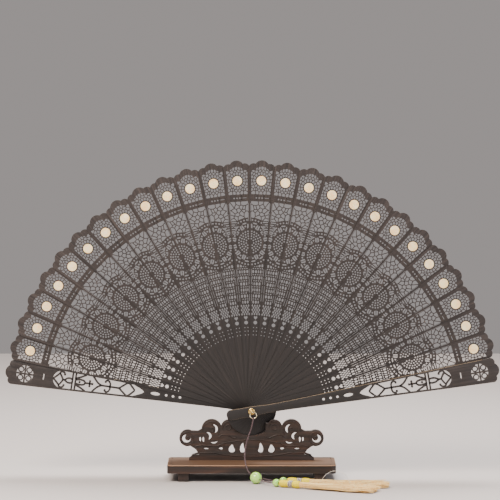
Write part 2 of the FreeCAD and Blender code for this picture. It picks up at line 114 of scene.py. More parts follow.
def fed(tree, node, inputs):
    """Gives a node's inputs values, sockets to link from, or nodes whose first output they take."""
    for name, value in inputs.items():
        if isinstance(value, bpy.types.Node):
            value = value.outputs[0]
        if isinstance(value, bpy.types.NodeSocket):
            tree.links.new(value, node.inputs[name])
        else:
            node.inputs[name].default_value = value
    return node


def add(tree, kind, inputs=None, **settings):
    """Adds a node with its settings and its inputs."""
    made = tree.nodes.new(kind)
    for name, value in settings.items():
        setattr(made, name, value)
    return fed(tree, made, inputs or {})


def show(thing):
    bpy.context.scene.collection.objects.link(thing)
    return thing


def put(name, mesh, material, body, replaced=()):
    """Makes a finished piece of a mesh and sets it on its body."""
    piece = show(bpy.data.objects.new(name, mesh))
    if material:
        mesh.materials.clear()
        mesh.materials.append(material)
    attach(piece, body)
    if replaced:
        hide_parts(*replaced)
    return piece


def line_mesh(lines, dots=(), closed=True):
    """A mesh of edges: closed loops or open lines, with loose points for drilled dots."""
    points, edges = [], []
    for run in lines:
        first = len(points)
        points += [(p[0], p[1], p[2] if len(p) > 2 else 0.0) for p in run]
        edges += [(first + i, first + i + 1) for i in range(len(run) - 1)]
        if closed:
            edges.append((len(points) - 1, first))
    sizes = [0.0] * len(points) + [radius for u, w, radius in dots]
    points += [(u, w, 0.0) for u, w, radius in dots]
    mesh = bpy.data.meshes.new("lines")
    mesh.from_pydata(points, edges, [])
    mesh.attributes.new("dot", "FLOAT", "POINT").data.foreach_set("value", sizes)
    return mesh


def applied(source):
    """The plain mesh of an object with its modifiers applied; the object itself goes."""
    graph = bpy.context.evaluated_depsgraph_get()
    result = bpy.data.meshes.new_from_object(source.evaluated_get(graph),
                                             preserve_all_data_layers=True, depsgraph=graph)
    bpy.data.objects.remove(source)
    return result


def grown(mesh, tree, **values):
    """The plain mesh that a geometry tree makes from a mesh."""
    source = show(bpy.data.objects.new("source", mesh))
    modifier = source.modifiers.new("grow", "NODES")
    modifier.node_group = tree
    for item in tree.interface.items_tree:
        if item.item_type == "SOCKET" and item.in_out == "INPUT" and item.name in values:
            modifier[item.identifier] = values[item.name]
    result = applied(source)
    bpy.data.meshes.remove(mesh)
    return result


def threads(lines, radius, sides, finish, closed=False):
    """Round threads along lines."""
    return grown(line_mesh(lines, closed=closed), THREAD, Radius=radius, Sides=sides, Finish=finish)


def pierced(loops, dots, thickness, sides):
    """A sandalwood plate: loops inside loops and dots are cut through it."""
    return grown(line_mesh(loops, dots), PLATE, Thickness=thickness, Sides=sides,
                 Finish=SANDALWOOD)


def mesh_of(build):
    """The mesh that a bmesh holds."""
    mesh = bpy.data.meshes.new("built")
    build.to_mesh(mesh)
    build.free()
    return mesh


def joined(*meshes):
    """Several plain meshes as one; what they name is kept."""
    build = bmesh.new()
    for mesh in meshes:
        build.from_mesh(mesh)
    for face in build.faces:
        face.material_index = 0
    return mesh_of(build)


def store(mesh, name, values, domain="FACE", kind="FLOAT"):
    """Keeps values on a mesh under a name that its material reads."""
    field = "vector" if kind == "FLOAT_VECTOR" else "value"
    mesh.attributes.new(name, kind, domain).data.foreach_set(field, values)


def finished(mesh, bevel, segments=2, angle=35.0):
    """The mesh with its sharp edges rounded, and the rounded faces marked for a painted highlight.
    """
    source = show(bpy.data.objects.new("source", mesh))
    if not mesh.materials:
        mesh.materials.append(SANDALWOOD)
    mesh.materials.append(WALNUT)
    rounding = source.modifiers.new("edge", "BEVEL")
    rounding.width = bevel * MM
    rounding.segments = segments
    rounding.limit_method = "ANGLE"
    rounding.angle_limit = math.radians(angle)
    rounding.material = len(mesh.materials) - 1
    result = applied(source)
    last = len(result.materials) - 1
    store(result, "painted_light", [float(face.material_index == last) for face in result.polygons])
    result.polygons.foreach_set("material_index", [0] * len(result.polygons))
    return result


def shade(mesh, angle=None):
    """Smooth shading, with edges over the angle kept sharp."""
    if angle is None:
        mesh.shade_flat()
    else:
        mesh.shade_smooth()
        mesh.set_sharp_from_angle(angle=math.radians(angle))
    return mesh


def oval(u, w, long, wide, degrees):
    """Points of an oval at the angles given."""
    return [(u + long * math.cos(math.radians(a)), w + wide * math.sin(math.radians(a)))
            for a in degrees]


# ---- geometry trees ----

def new_tree(name, **inputs):
    """An empty geometry tree with a mesh socket each way and the named inputs."""
    tree = bpy.data.node_groups.new(name, "GeometryNodeTree")
    for label, kind in {"Geometry": "Geometry", **inputs}.items():
        tree.interface.new_socket(label, in_out="INPUT", socket_type="NodeSocket" + kind)
    tree.interface.new_socket("Geometry", in_out="OUTPUT", socket_type="NodeSocketGeometry")
    return tree, tree.nodes.new("NodeGroupInput").outputs


def close_tree(tree, geometry, smooth, material):
    """Every tree ends the same way: shading, real geometry, then its material."""
    shaded = add(tree, "GeometryNodeSetShadeSmooth", {"Geometry": geometry,
                                                      "Shade Smooth": smooth})
    real = add(tree, "GeometryNodeRealizeInstances", {0: shaded})
    painted = add(tree, "GeometryNodeSetMaterial", {"Geometry": real, "Material": material})
    add(tree, "NodeGroupOutput", {0: painted})
    return tree


def both(tree, *parts):
    """Geometry joined, each part added to the ones before it."""
    whole = add(tree, "GeometryNodeJoinGeometry")
    for part in parts:
        fed(tree, whole, {0: part})
    return whole


def swept(tree, lines, section):
    return add(tree, "GeometryNodeCurveToMesh", {"Curve": lines, "Profile Curve": section,
                                                 "Fill Caps": True})


def pierced_plate_tree():
    """Loops and dots in the XY plane become a plate with those loops and dots cut through it."""
    tree, given = new_tree("pierced plate", Thickness="Float", Sides="Int", Finish="Material")
    dot = add(tree, "GeometryNodeInputNamedAttribute", {"Name": "dot"}, data_type="FLOAT")
    is_dot = add(tree, "FunctionNodeCompare", {0: dot, 1: 0.0}, data_type="FLOAT",
                 operation="GREATER_THAN")
    places = add(tree, "GeometryNodeMeshToPoints", {"Mesh": given["Geometry"],
                                                    "Selection": is_dot})
    drill = add(tree, "GeometryNodeCurvePrimitiveCircle", {"Resolution": given["Sides"],
                                                           "Radius": 1.0})
    drilled = add(tree, "GeometryNodeInstanceOnPoints", {"Points": places, "Instance": drill,
                                                         "Scale": dot})
    real = add(tree, "GeometryNodeRealizeInstances", {0: drilled})
    loops = add(tree, "GeometryNodeMeshToCurve", {0: given["Geometry"]})
    front = add(tree, "GeometryNodeFillCurve", {0: both(tree, real, loops)}, mode="TRIANGLES")
    up = add(tree, "ShaderNodeCombineXYZ", {"Z": 1.0})
    pulled = add(tree, "GeometryNodeExtrudeMesh", {
        "Mesh": front, "Offset": up, "Offset Scale": given["Thickness"], "Individual": False},
        mode="FACES")
    walled = add(tree, "GeometryNodeStoreNamedAttribute", {
        "Geometry": pulled.outputs["Mesh"], "Name": "cut", "Value": pulled.outputs["Side"]},
        data_type="FLOAT", domain="FACE")
    under = add(tree, "GeometryNodeFlipFaces", {0: front})
    welded = add(tree, "GeometryNodeMergeByDistance", {"Geometry": both(tree, under, walled),
                                                       "Distance": 0.0005})
    return close_tree(tree, welded, False, given["Finish"])


def round_thread_tree():
    """Open or closed lines become round threads, closed at their ends."""
    tree, given = new_tree("round thread", Radius="Float", Sides="Int", Finish="Material")
    lines = add(tree, "GeometryNodeMeshToCurve", {0: given["Geometry"]})
    section = add(tree, "GeometryNodeCurvePrimitiveCircle", {"Resolution": given["Sides"],
                                                             "Radius": given["Radius"]})
    return close_tree(tree, swept(tree, lines, section), True, given["Finish"])


def flat_bar_tree():
    """Lines in the XY plane become flat bars of one width and height, as a fret saw leaves them."""
    tree, given = new_tree("flat bar", Width="Float", Height="Float", Finish="Material")
    lines = add(tree, "GeometryNodeMeshToCurve", {0: given["Geometry"]})
    level = add(tree, "GeometryNodeSetCurveNormal", {0: lines}, mode="Z_UP")
    section = add(tree, "GeometryNodeCurvePrimitiveQuadrilateral", {
        "Width": given["Width"], "Height": given["Height"]}, mode="RECTANGLE")
    return close_tree(tree, swept(tree, level, section), False, given["Finish"])


# ---- materials ----

def new_material(name):
    material = bpy.data.materials.new(name)
    material.use_nodes = True
    return material, material.node_tree


def surface(tree, inputs, height, strength, depth):
    """The shader's inputs, with bump from a height and its real depth in millimetres."""
    bump = add(tree, "ShaderNodeBump", {"Height": height, "Strength": strength,
                                        "Distance": depth * MM})
    fed(tree, tree.nodes["Principled BSDF"], {**inputs, "Normal": bump})


def ramp(tree, factor, stops):
    """A colour ramp: (place, hex colour) for each stop."""
    node = add(tree, "ShaderNodeValToRGB", {"Fac": factor})
    band = node.color_ramp
    band.elements.remove(band.elements[0])
    band.elements[0].position, band.elements[0].color = stops[0][0], srgb(stops[0][1])
    for place, code in stops[1:]:
        band.elements.new(place).color = srgb(code)
    return node


def spread(tree, factor, low, high, **limits):
    """A factor mapped to run from low to high."""
    limits = {name.replace("_", " "): value for name, value in limits.items()}
    return add(tree, "ShaderNodeMapRange", {"Value": factor, "To Min": low, "To Max": high,
                                            **limits})


def mixed(tree, factor, a, b, blend="MIX"):
    return add(tree, "ShaderNodeMix", {"Factor": factor, "A": a, "B": b}, data_type="RGBA",
               blend_type=blend).outputs["Result"]


def attribute(tree, name, output="Fac"):
    return add(tree, "ShaderNodeAttribute", attribute_name=name).outputs[output]


def streaks(tree, place, along, across, turn=0.0, **noise):
    """Noise drawn out into streaks, along and across being their sizes."""
    laid = add(tree, "ShaderNodeMapping", {"Vector": place, "Rotation": (0, 0, math.radians(turn)),
                                           "Scale": (1 / along, 1 / across, 1 / across)})
    return add(tree, "ShaderNodeTexNoise", {"Vector": laid, "Scale": 1.0, **noise})


def grain_coords(tree):
    """Coordinates in millimetres from a stick's own attribute."""
    return attribute(tree, "grain", "Vector")


def object_coords(tree):
    """Object coordinates, turned to millimetres."""
    place = add(tree, "ShaderNodeTexCoord").outputs["Object"]
    return add(tree, "ShaderNodeVectorMath", {0: place, "Scale": 1 / MM}, operation="SCALE")


def wood(name, coords, stops, figure, pore, painted_highlight_colour, cut_colour=None):
    """Straight-grained wood. coords gives millimetres; figure and pore are the lengths and widths
    of its growth streaks and pores. Marked edges and faces get a lighter colour, a painted
    highlight where light catches them."""
    material, tree = new_material(name)
    place = coords(tree)
    wander = streaks(tree, place, *figure, Detail=5.0, Roughness=0.6, Distortion=0.6)
    pores = streaks(tree, place, *pore, Detail=3.0, Roughness=0.7)
    streak = spread(tree, pores, 0.62, 1.0, From_Min=0.36, From_Max=0.56)
    colour = mixed(tree, 1.0, ramp(tree, wander, stops), streak, "MULTIPLY")
    if cut_colour:
        # The tone value is each stick's random tone times a painted shade that darkens the shanks
        # and lightens towards the tip.
        toned = add(tree, "ShaderNodeHueSaturation", {"Color": colour,
                                                      "Value": attribute(tree, "tone")})
        colour = mixed(tree, attribute(tree, "cut"), toned, srgb(cut_colour))
    highlighted = mixed(tree, attribute(tree, "painted_light"), colour, srgb(painted_highlight_colour))
    surface(tree, {"Base Color": highlighted, "Roughness": spread(tree, pores, 0.62, 0.42)},
            pores, 0.35, 0.06)
    return material


def clouded(name, size, stops, strength, depth, detail=4.0, haze=0.0, **inputs):
    """A finish whose colour wanders in lumps of a size in millimetres. haze is how much its
    roughness wanders with it, and inputs are the shader's own."""
    material, tree = new_material(name)
    noise = add(tree, "ShaderNodeTexNoise", {"Vector": object_coords(tree), "Scale": 1 / size,
                                             "Detail": detail})
    inputs = {label.replace("_", " "): value for label, value in inputs.items()}
    if haze:
        inputs["Roughness"] = spread(tree, noise, inputs["Roughness"], inputs["Roughness"] + haze)
    surface(tree, {"Base Color": ramp(tree, noise, stops), **inputs}, noise, strength, depth)
    return material


def polished_metal(name, stops, roughness):
    return clouded(name, 1.2, stops, 0.2, 0.02, haze=0.15, Metallic=1.0, Roughness=roughness)


def thread_finish(name, stops, sheen, roughness=0.6):
    """Twisted silk thread: colour that changes from thread to thread, with a soft sheen."""
    return clouded(name, 0.5, stops, 0.4, 0.05, detail=2.0, Roughness=roughness,
                   Sheen_Weight=sheen, Sheen_Roughness=0.35)


def loose_silk():
    """Loose cream silk: streaks of light and dark threads that run with the skirt."""
    material, tree = new_material("loose_cream_silk")
    laid = streaks(tree, object_coords(tree), 9, 0.45, 15.0, Detail=3.0, Roughness=0.65)
    tint = ramp(tree, laid, [(0.28, "#c98a3c"), (0.4, "#ffc86c"), (0.55, "#ffe096"),
                             (0.75, "#fff2c4")])
    surface(tree, {"Base Color": tint, "Roughness": 0.5, "Sheen Weight": 0.2,
                   "Sheen Roughness": 0.35}, laid, 0.4, 0.1)
    return material


# Sandalwood stained dark brown and waxed: fine straight streaks, scorched where a laser cut it. Its
# last, pale colour is a painted highlight for marked edges.
SANDALWOOD = wood("stained_sandalwood", grain_coords,
                  [(0.25, "#140f0e"), (0.45, "#241d1b"), (0.62, "#322a27"), (0.8, "#473d38")],
                  (38.0, 1.3), (7.0, 0.22), "#b39a7c", "#1c1613")
# Oiled walnut: broad brown figure, satin, with open pores. Its last, pale colour is a painted
# highlight for marked edges and the board's top.
WALNUT = wood("oiled_walnut", object_coords,
              [(0.25, "#120a05"), (0.45, "#23160e"), (0.6, "#342015"), (0.8, "#4e3221")],
              (45.0, 3.2), (9.0, 0.35), "#a87c58")
# Polished brass, paler brass wire, and zinc-plated steel.
BRASS = polished_metal("polished_brass", [(0.3, "#c9a55a"), (0.7, "#e6cf93")], 0.18)
PALE_BRASS = polished_metal("pale_brass_wire", [(0.3, "#d8cba2"), (0.7, "#f2ead0")], 0.16)
STEEL = polished_metal("zinc_plated_steel", [(0.3, "#9a9a9c"), (0.7, "#c4c4c6")], 0.32)
# Polished pale jade: glossy, cloudy, with light passing a little way in.
JADE = clouded("polished_jade", 4.0, [(0.3, "#8ccf52"), (0.5, "#b4e668"), (0.7, "#cef288")],
               0.08, 0.05, Roughness=0.12, IOR=1.61, Subsurface_Weight=0.35,
               Subsurface_Radius=(0.6, 1.0, 0.5), Subsurface_Scale=0.002, Coat_Weight=0.3)
# Polished bone inlay: cream, a little warmer in patches, with fine growth lines.
BONE = clouded("polished_bone", 5.0, [(0.35, "#ffd698"), (0.55, "#ffe6b4"), (0.75, "#fff2d0")],
               0.1, 0.04, Roughness=0.35, Subsurface_Weight=0.1, Subsurface_Scale=0.0008)
# Silks: the dark cord, the yellow and silver threads of the heads, the skirts and the ribbon.
CORD_SILK = thread_finish("twisted_dark_silk", [(0.3, "#35242a"), (0.55, "#553f42"),
                                                (0.8, "#8a716c")], 0.4)
YELLOW_SILK = thread_finish("wound_yellow_silk", [(0.3, "#cbb000"), (0.5, "#e8d000"),
                                                  (0.7, "#faec00")], 0.05)
SILVER_THREAD = thread_finish("wound_silver_thread", [(0.3, "#c9c2b4"), (0.7, "#f7f3ea")], 0.3,
                              0.35)
CREAM_SILK = loose_silk()
RIBBON_SILK = thread_finish("woven_brown_ribbon", [(0.3, "#1d1613"), (0.7, "#33281f")], 0.3)
# Painted shade: a dark line on the wood's face where the ribbons run behind the leaf, standing in
# for the shade along the ribbon's course.
RIBBON_SHADE_PAINT = thread_finish("painted_ribbon_shade", [(0.3, "#1a1310"), (0.7, "#2c221d")], 0.0, 0.8)

PLATE = pierced_plate_tree()
THREAD = round_thread_tree()
BAR = flat_bar_tree()


# ---- camera ----

def set_camera():
    """A long lens, level with the fan's middle and looking slightly down."""
    distance = 2.5
    seen_width = 0.417
    aim = Vector((-0.0013, PIVOT.y, 0.1903))
    data = bpy.data.cameras.new("camera")
    data.sensor_width = 36.0
    data.lens = 36.0 * distance / seen_width
    data.clip_start = 0.1
    camera = show(bpy.data.objects.new("camera", data))
    camera.location = aim + Vector((0.0, -distance, 0.150))
    camera.rotation_euler = (aim - camera.location).to_track_quat("-Z", "Y").to_euler()
    bpy.context.scene.camera = camera


set_camera()


# ---- cords ----

def nurbs_line(name, route):
    """A smooth line with the route's points, in millimetres, as its control points."""
    curve = bpy.data.curves.new(name, "CURVE")
    curve.dimensions = "3D"
    curve.resolution_u = 16
    spline = curve.splines.new("NURBS")
    spline.points.add(len(route) - 1)
    for point, place in zip(spline.points, route):
        point.co = (*(Vector(place) * MM), 1.0)
    spline.order_u = 3
    spline.use_endpoint_u = True
    return curve


def line_points(curve):
    """The points that a smooth line runs through, in metres."""
    mesh = applied(show(bpy.data.objects.new("source", curve)))
    points = [v.co.copy() for v in mesh.vertices]
    bpy.data.meshes.remove(mesh)
    return points


def run_length(points):
    return sum((b - a).length for a, b in zip(points, points[1:]))


def resampled(points, step):
    """The same line with points a fixed step apart."""
    total = run_length(points)
    count = max(2, round(total / step))
    result, i, gone = [], 0, 0.0
    for n in range(count + 1):
        want = total * n / count
        while i < len(points) - 2 and gone + (points[i + 1] - points[i]).length < want:
            gone += (points[i + 1] - points[i]).length
            i += 1
        part = (want - gone) / (points[i + 1] - points[i]).length
        result.append(points[i].lerp(points[i + 1], min(1.0, part)))
    return result


def coiled_round(points, radius, lay_length, turn):
    """A line that winds round another one, as a ply does in a twisted cord."""
    result, side, gone = [], None, 0.0
    for i, point in enumerate(points):
        way = (points[min(i + 1, len(points) - 1)] - points[max(i - 1, 0)]).normalized()
        if side is None:
            side = way.orthogonal().normalized()
        side = (side - way * side.dot(way)).normalized()
        if i:
            gone += (point - points[i - 1]).length
        angle = turn + 2 * math.pi * gone / lay_length
        result.append(point + (side * math.cos(angle) + way.cross(side) * math.sin(angle)) * radius)
    return result


def twisted_cord(name, route, radius, body, replaced):
    """A two-ply cord along its route."""
    path = line_points(nurbs_line(name, route))
    ply = radius * 0.56 * MM
    lay_length = radius * 3.6 * MM
    middle = resampled(path, lay_length / 10)
    plies = [coiled_round(middle, radius * MM - ply, lay_length, k * math.pi) for k in (0, 1)]
    piece = put(name, threads(plies, ply, 7, CORD_SILK), None, body, replaced)
    return piece


def middle_of(node):
    low, high = box_mm(node)
    return (low + high) / 2


# Routes, the same points that the cords' solids follow.
RING_LOW, RING_HIGH = box_mm("tassel_ring")
RING_BOTTOM = Vector(((RING_LOW.x + RING_HIGH.x) / 2, (RING_LOW.y + RING_HIGH.y) / 2,
                      RING_LOW.z))
JADE_MIDDLE = middle_of("jade_bead")
FRONT_BEAD_MIDDLE = middle_of("front_small_bead")
BACK_BEAD_MIDDLE = middle_of("back_small_bead")
HEAD_LENGTH = 18.5
HEAD_GAP = 0.5
HEAD_HEIGHT = 3.3            # a head's middle over the table
BEAD_RADIUS = 3.25
SLACK_HEIGHT = 2.6
KNOT_DEPTH = 25.0            # how far a cord goes on inside its skirt
FRONT_HEADING, BACK_HEADING = -30.0, -13.0
FRONT_SKIRT_HEADING, BACK_SKIRT_HEADING = -20.5, -11.0
# The cord's fall: x, and its shares of the way to the jade bead in depth and in height.
CORD_FALL = ((0.5, 0.037, 0.123), (-2.0, 0.115, 0.273), (-4.3, 0.228, 0.423),
             (-5.5, 0.404, 0.559), (-5.7, 0.651, 0.668), (-4.7, 0.84, 0.786),
             (-2.2, 0.967, 0.918))


def heading(angle):
    return Vector((math.cos(math.radians(angle)), math.sin(math.radians(angle)), 0.0))


def head_start(bead, angle):
    """Where a head begins, beyond its bead, lying on the table."""
    start = bead + heading(angle) * (BEAD_RADIUS + HEAD_GAP)
    start.z = HEAD_HEIGHT
    return start


def sag(a, b):
    return Vector(((a.x + b.x) / 2, (a.y + b.y) / 2, SLACK_HEIGHT))


def into_skirt(start, angle, skirt_angle):
    """The hidden end of a cord: on through its head, and knotted inside the skirt."""
    root = start + heading(angle) * HEAD_LENGTH
    end = root + heading(skirt_angle) * KNOT_DEPTH
    end.z = 2.8
    return [start + heading(angle) * HEAD_LENGTH * 0.6, root, end]


FRONT_HEAD = head_start(FRONT_BEAD_MIDDLE, FRONT_HEADING)
BACK_HEAD = head_start(BACK_BEAD_MIDDLE, BACK_HEADING)
FALL = [RING_BOTTOM] + [Vector((x, RING_BOTTOM.y + (JADE_MIDDLE.y - RING_BOTTOM.y) * share_y,
                                RING_BOTTOM.z + (JADE_MIDDLE.z - RING_BOTTOM.z) * share_z))
                        for x, share_y, share_z in CORD_FALL]
FRONT_SAG = sag(JADE_MIDDLE, FRONT_BEAD_MIDDLE)
BRANCH_START = JADE_MIDDLE + Vector((4.9, 0.6, -0.4))
BACK_SAG = sag(BRANCH_START, BACK_BEAD_MIDDLE)
MAIN_ROUTE = FALL + [JADE_MIDDLE, FRONT_SAG, FRONT_BEAD_MIDDLE, FRONT_HEAD]
MAIN_ROUTE += into_skirt(FRONT_HEAD, FRONT_HEADING, FRONT_SKIRT_HEADING)
BRANCH_ROUTE = [BRANCH_START, BACK_SAG, BACK_BEAD_MIDDLE, BACK_HEAD]
BRANCH_ROUTE += into_skirt(BACK_HEAD, BACK_HEADING, BACK_SKIRT_HEADING)


# ---- a stick's outline ----

def leaf_half(u):
    return max(SHANK_WIDTH, math.radians(STICK_PITCH) * u + LEAF_OVERLAP) / 2


GUARD_EDGE = ((-BUTT_RADIUS, 4.2), (0.0, 3.9), (21.0, 3.3), (63.0, 4.8), (104.5, 6.45),
              (150.0, 8.3), (NOTCH_PLACE - SIDE_DROP, 10.2))


def guard_half(u):
    """Half the width of a guard: a smooth curve through the places where it is given."""
    places = GUARD_EDGE
    for i, ((u0, w0), (u1, w1)) in enumerate(zip(places, places[1:])):
        if u <= u1:
            h = u1 - u0
            slope = (w1 - w0) / h
            before, after = places[max(i - 1, 0)], places[min(i + 2, len(places) - 1)]
            m0 = (w1 - before[1]) / (u1 - before[0]) if i else slope
            m1 = (after[1] - w0) / (after[0] - u0) if i < len(places) - 2 else slope
            t = (u - u0) / h
            return ((2 * t ** 3 - 3 * t ** 2 + 1) * w0 + (t ** 3 - 2 * t ** 2 + t) * h * m0
                    + (3 * t ** 2 - 2 * t ** 3) * w1 + (t ** 3 - t ** 2) * h * m1)
    return places[-1][1]


def bulged(a, b, bulge, steps):
    """Points of an arc from a to b, without b, that stands out by bulge to the left of the way."""
    a, b = Vector(a), Vector(b)
    chord = (b - a).length
    radius = (chord ** 2 / 4 + bulge ** 2) / (2 * bulge)
    side = Vector((-(b - a).y, (b - a).x)).normalized()
    centre = (a + b) / 2 + side * (bulge - radius)
    start = math.atan2(a.y - centre.y, a.x - centre.x)
    turn = 2 * math.asin(min(1.0, chord / (2 * radius)))
    return [(centre.x + radius * math.cos(start - turn * i / steps),
             centre.y + radius * math.sin(start - turn * i / steps)) for i in range(steps)]


def stick_outline(half, butt_half, flank):
    """A stick's outline, clockwise from the top of its butt: flank gives the side's stations."""
    corner = butt_half * BUTT_ROUNDNESS
    flat = butt_half - corner
    end = math.sqrt(BUTT_RADIUS ** 2 - flat ** 2)
    crest = CREST_WIDTH / 2
    outer = NOTCH_PLACE - SIDE_DROP
    upper = [(u, half(u)) for u in flank]
    tip = bulged((outer, half(outer)), (NOTCH_PLACE, crest), SIDE_BULGE, 10)
    tip += bulged((NOTCH_PLACE, crest), (NOTCH_PLACE, -crest), CREST_BULGE, 14)
    tip += bulged((NOTCH_PLACE, -crest), (outer, -half(outer)), SIDE_BULGE, 10)
    lower = [(outer, -half(outer))] + [(u, -w) for u, w in reversed(upper)]
    butt = oval(corner - end, -flat, corner, corner, range(-90, -181, -15))
    butt.append((-BUTT_RADIUS, 0))
    butt += oval(corner - end, flat, corner, corner, range(180, 89, -15))
    return upper + tip + lower + butt


# ---- fretwork ----

def clip(polygon, normal, limit):
    """The part of a polygon on the near side of a line."""
    kept = []
    for a, b in zip(polygon, polygon[1:] + polygon[:1]):
        da = a[0] * normal[0] + a[1] * normal[1] - limit
        db = b[0] * normal[0] + b[1] * normal[1] - limit
        if da <= 0:
            kept.append(a)
        if (da < 0 < db) or (db < 0 < da):
            t = da / (da - db)
            kept.append((a[0] + (b[0] - a[0]) * t, a[1] + (b[1] - a[1]) * t))
    return kept


def beside_ring(polygon, site, centre, radius, side):
    """The part of a polygon on a site's side of a circle, cut straight: side is 1 for a site
    outside it and -1 for one inside."""
    way = (site[0] - centre[0], site[1] - centre[1])
    far = math.hypot(*way)
    normal = (-side * way[0] / far, -side * way[1] / far)
    limit = normal[0] * centre[0] + normal[1] * centre[1] - side * radius
    return clip(polygon, normal, limit)


def area(polygon):
    return abs(sum(a[0] * b[1] - b[0] * a[1]
                   for a, b in zip(polygon, polygon[1:] + polygon[:1]))) / 2


def softened(polygon, share=0.22):
    """The polygon with each corner cut by a share of its sides, as a fine saw rounds it."""
    result = []
    for a, b in zip(polygon, polygon[1:] + polygon[:1]):
        result += [(a[0] + (b[0] - a[0]) * t, a[1] + (b[1] - a[1]) * t)
                   for t in (share, 1 - share)]
    return result


def cells(sites, region, bar, reach, rings=(), smallest=0.35, boxes=(), soft=0.22):
    """The openings of a fret: the ground nearest to each site, less half a bar all round.
    rings are (centre, radius, side), as beside_ring takes them; boxes are (low u, high u, low w,
    high w), kept free of openings."""
    openings = []
    for site in sites:
        polygon = list(region)
        for other in sites:
            gap = (other[0] - site[0], other[1] - site[1])
            distance = math.hypot(*gap)
            if 0 < distance < reach:
                normal = (gap[0] / distance, gap[1] / distance)
                middle = normal[0] * (site[0] + other[0]) / 2 + normal[1] * (site[1] + other[1]) / 2
                polygon = clip(polygon, normal, middle - bar / 2)
        for ring in rings:
            polygon = beside_ring(polygon, site, *ring)
        for low_u, high_u, low_w, high_w in boxes:
            beyond = [(low_u - site[0], (1, 0), low_u), (site[0] - high_u, (-1, 0), -high_u),
                      (low_w - site[1], (0, 1), low_w), (site[1] - high_w, (0, -1), -high_w)]
            away, normal, limit = max(beyond)
            polygon = clip(polygon, normal, limit) if away > 0 else []
        if len(polygon) > 2 and area(polygon) > smallest:
            openings.append(softened(polygon, soft))
    return openings


def within_leaf(polygon, strip):
    """The part of a polygon that leaves a strip uncut along both sides of a leaf."""
    slope = math.radians(STICK_PITCH) / 2
    length = math.hypot(1.0, slope)
    for s in (-1, 1):
        polygon = clip(polygon, (-slope / length, s / length), (LEAF_OVERLAP / 2 - strip) / length)
    return polygon


def slot_loop(a, b, width):
    """A straight slot between two points."""
    a, b = Vector(a), Vector(b)
    side = Vector((-(b - a).y, (b - a).x)).normalized() * width / 2
    return [tuple(a - side), tuple(b - side), tuple(b + side), tuple(a + side)]


def scattered(low, high, width, spacing, jitter, keep, chance):
    """Sites on a staggered grid, each moved a little, where keep allows them."""
    sites = []
    row = 0
    u = low
    while u <= high:
        w = -width + (spacing / 2 if row % 2 else 0.0)
        while w <= width:
            site = (u + chance.uniform(-jitter, jitter), w + chance.uniform(-jitter, jitter))
            if keep(*site):
                sites.append(site)
            w += spacing
        u += spacing * 0.866
        row += 1
    return sites


def ring_sites(centre, radius, count, phase=0.0):
    return [(centre[0] + radius * math.cos(2 * math.pi * (i + phase) / count),
             centre[1] + radius * math.sin(2 * math.pi * (i + phase) / count))
            for i in range(count)]


EDGE_STRIP = 1.65            # uncut wood along a leaf's side
MEDALLION_STRIP = 1.05       # the same across a medallion that two leaves share
CROWN_STRIP = 1.9            # the same beside the disc
MEDALLION_PLACE = 140.7
MEDALLION_RADIUS = 20.6
CROWN_LOW = 181.0            # the fret round the disc
BAND_LOW = 175.0             # the ribbon's band
RIBBON_PLACES = (179.45, 176.35)
RIBBON_SLOT = -2.9           # across the leaf


def crown_openings(chance):
    """Rings of cells round the disc, and small cells out to the scalloped border."""
    def side(u):
        return leaf_half(u) - CROWN_STRIP

    region = [(CROWN_LOW, -side(CROWN_LOW)), (200.9, -side(200.9)), (201.7, -5.6), (203.6, -3.0),
              (204.2, 0.0), (203.6, 3.0), (201.7, 5.6), (200.9, side(200.9)),
              (CROWN_LOW, side(CROWN_LOW))]
    disc = (DISC_PLACE, 0.0)
    clear = 9.8                  # where the rings of cells end and the small cells begin
    sites = ring_sites(disc, 6.3, 16) + ring_sites(disc, 8.3, 18, 0.5)
    sites = [site for site in sites if abs(site[1]) < side(site[0]) and site[0] > CROWN_LOW + 0.6]
    sites += scattered(187.0, 204.0, 9.2, 2.2, 0.35,
                       lambda u, w: math.hypot(u - disc[0], w) > clear and abs(w) < side(u),
                       chance)
    # Larger triangles and diamonds between the disc and the ribbon.
    for u, w in ((182.7, 0.0), (182.9, 3.1), (182.6, 6.0), (184.9, 7.6), (185.2, 4.9)):
        sites += [(u, w), (u, -w)] if w else [(u, w)]
    return cells(sites, region, 0.62, 6.0, [(disc, DISC_RADIUS + 0.9, 1)], soft=0.16)


# Rings of drilled dots in a medallion: radius, count and a dot's size.
MEDALLION_RINGS = ((18.7, 45, 0.72), (9.2, 26, 0.7), (7.2, 20, 0.7), (5.2, 15, 0.7),
                   (3.2, 9, 0.68), (1.2, 4, 0.55))
PETALS = 14


def medallion_openings(centre):
    """A drilled field, a ring of petals and a drilled rim."""
    openings, dots = [], []
    for radius, count, size in MEDALLION_RINGS:
        dots += [(u, w, size) for u, w in ring_sites(centre, radius, count, 0.5)]
    dots += [(u, w, 0.45) for u, w in ring_sites(centre, 11.9, PETALS)]
    for i in range(PETALS):
        turn = 2 * math.pi * (i + 0.5) / PETALS
        out = Vector((math.cos(turn), math.sin(turn)))
        along = Vector((-out.y, out.x))

        def at(radius, aside):
            return Vector(centre) + out * radius + along * aside
        openings.append(slot_loop(at(16.1, -1.75), at(16.1, 1.75), 1.15))
        for s in (-1, 1):
            openings.append(slot_loop(at(15.3, 2.75 * s), at(11.6, 1.55 * s), 1.25))
        dots.append((*at(13.6, 0.0), 0.75))
    cut_openings = []
    for loop in openings:
        loop = within_leaf(loop, MEDALLION_STRIP)
        if len(loop) > 2 and area(loop) > 0.5:
            cut_openings.append(softened(loop))
    return cut_openings, dots


BRICKS_LOW, BRICKS_HIGH = 89.5, 134.0
BRICK_REACH = 8.4            # how far rows run to each side, before the leaf's edge cuts them
BRICK_ROWS = 5.1             # from one pair of rows to the next
BRICK_BAR = 0.8
TALL_WIDTHS = (1.7, 0.9, 1.3, 0.9, 1.5)
SMALL_WIDTHS = (1.0, 1.0, 1.3)


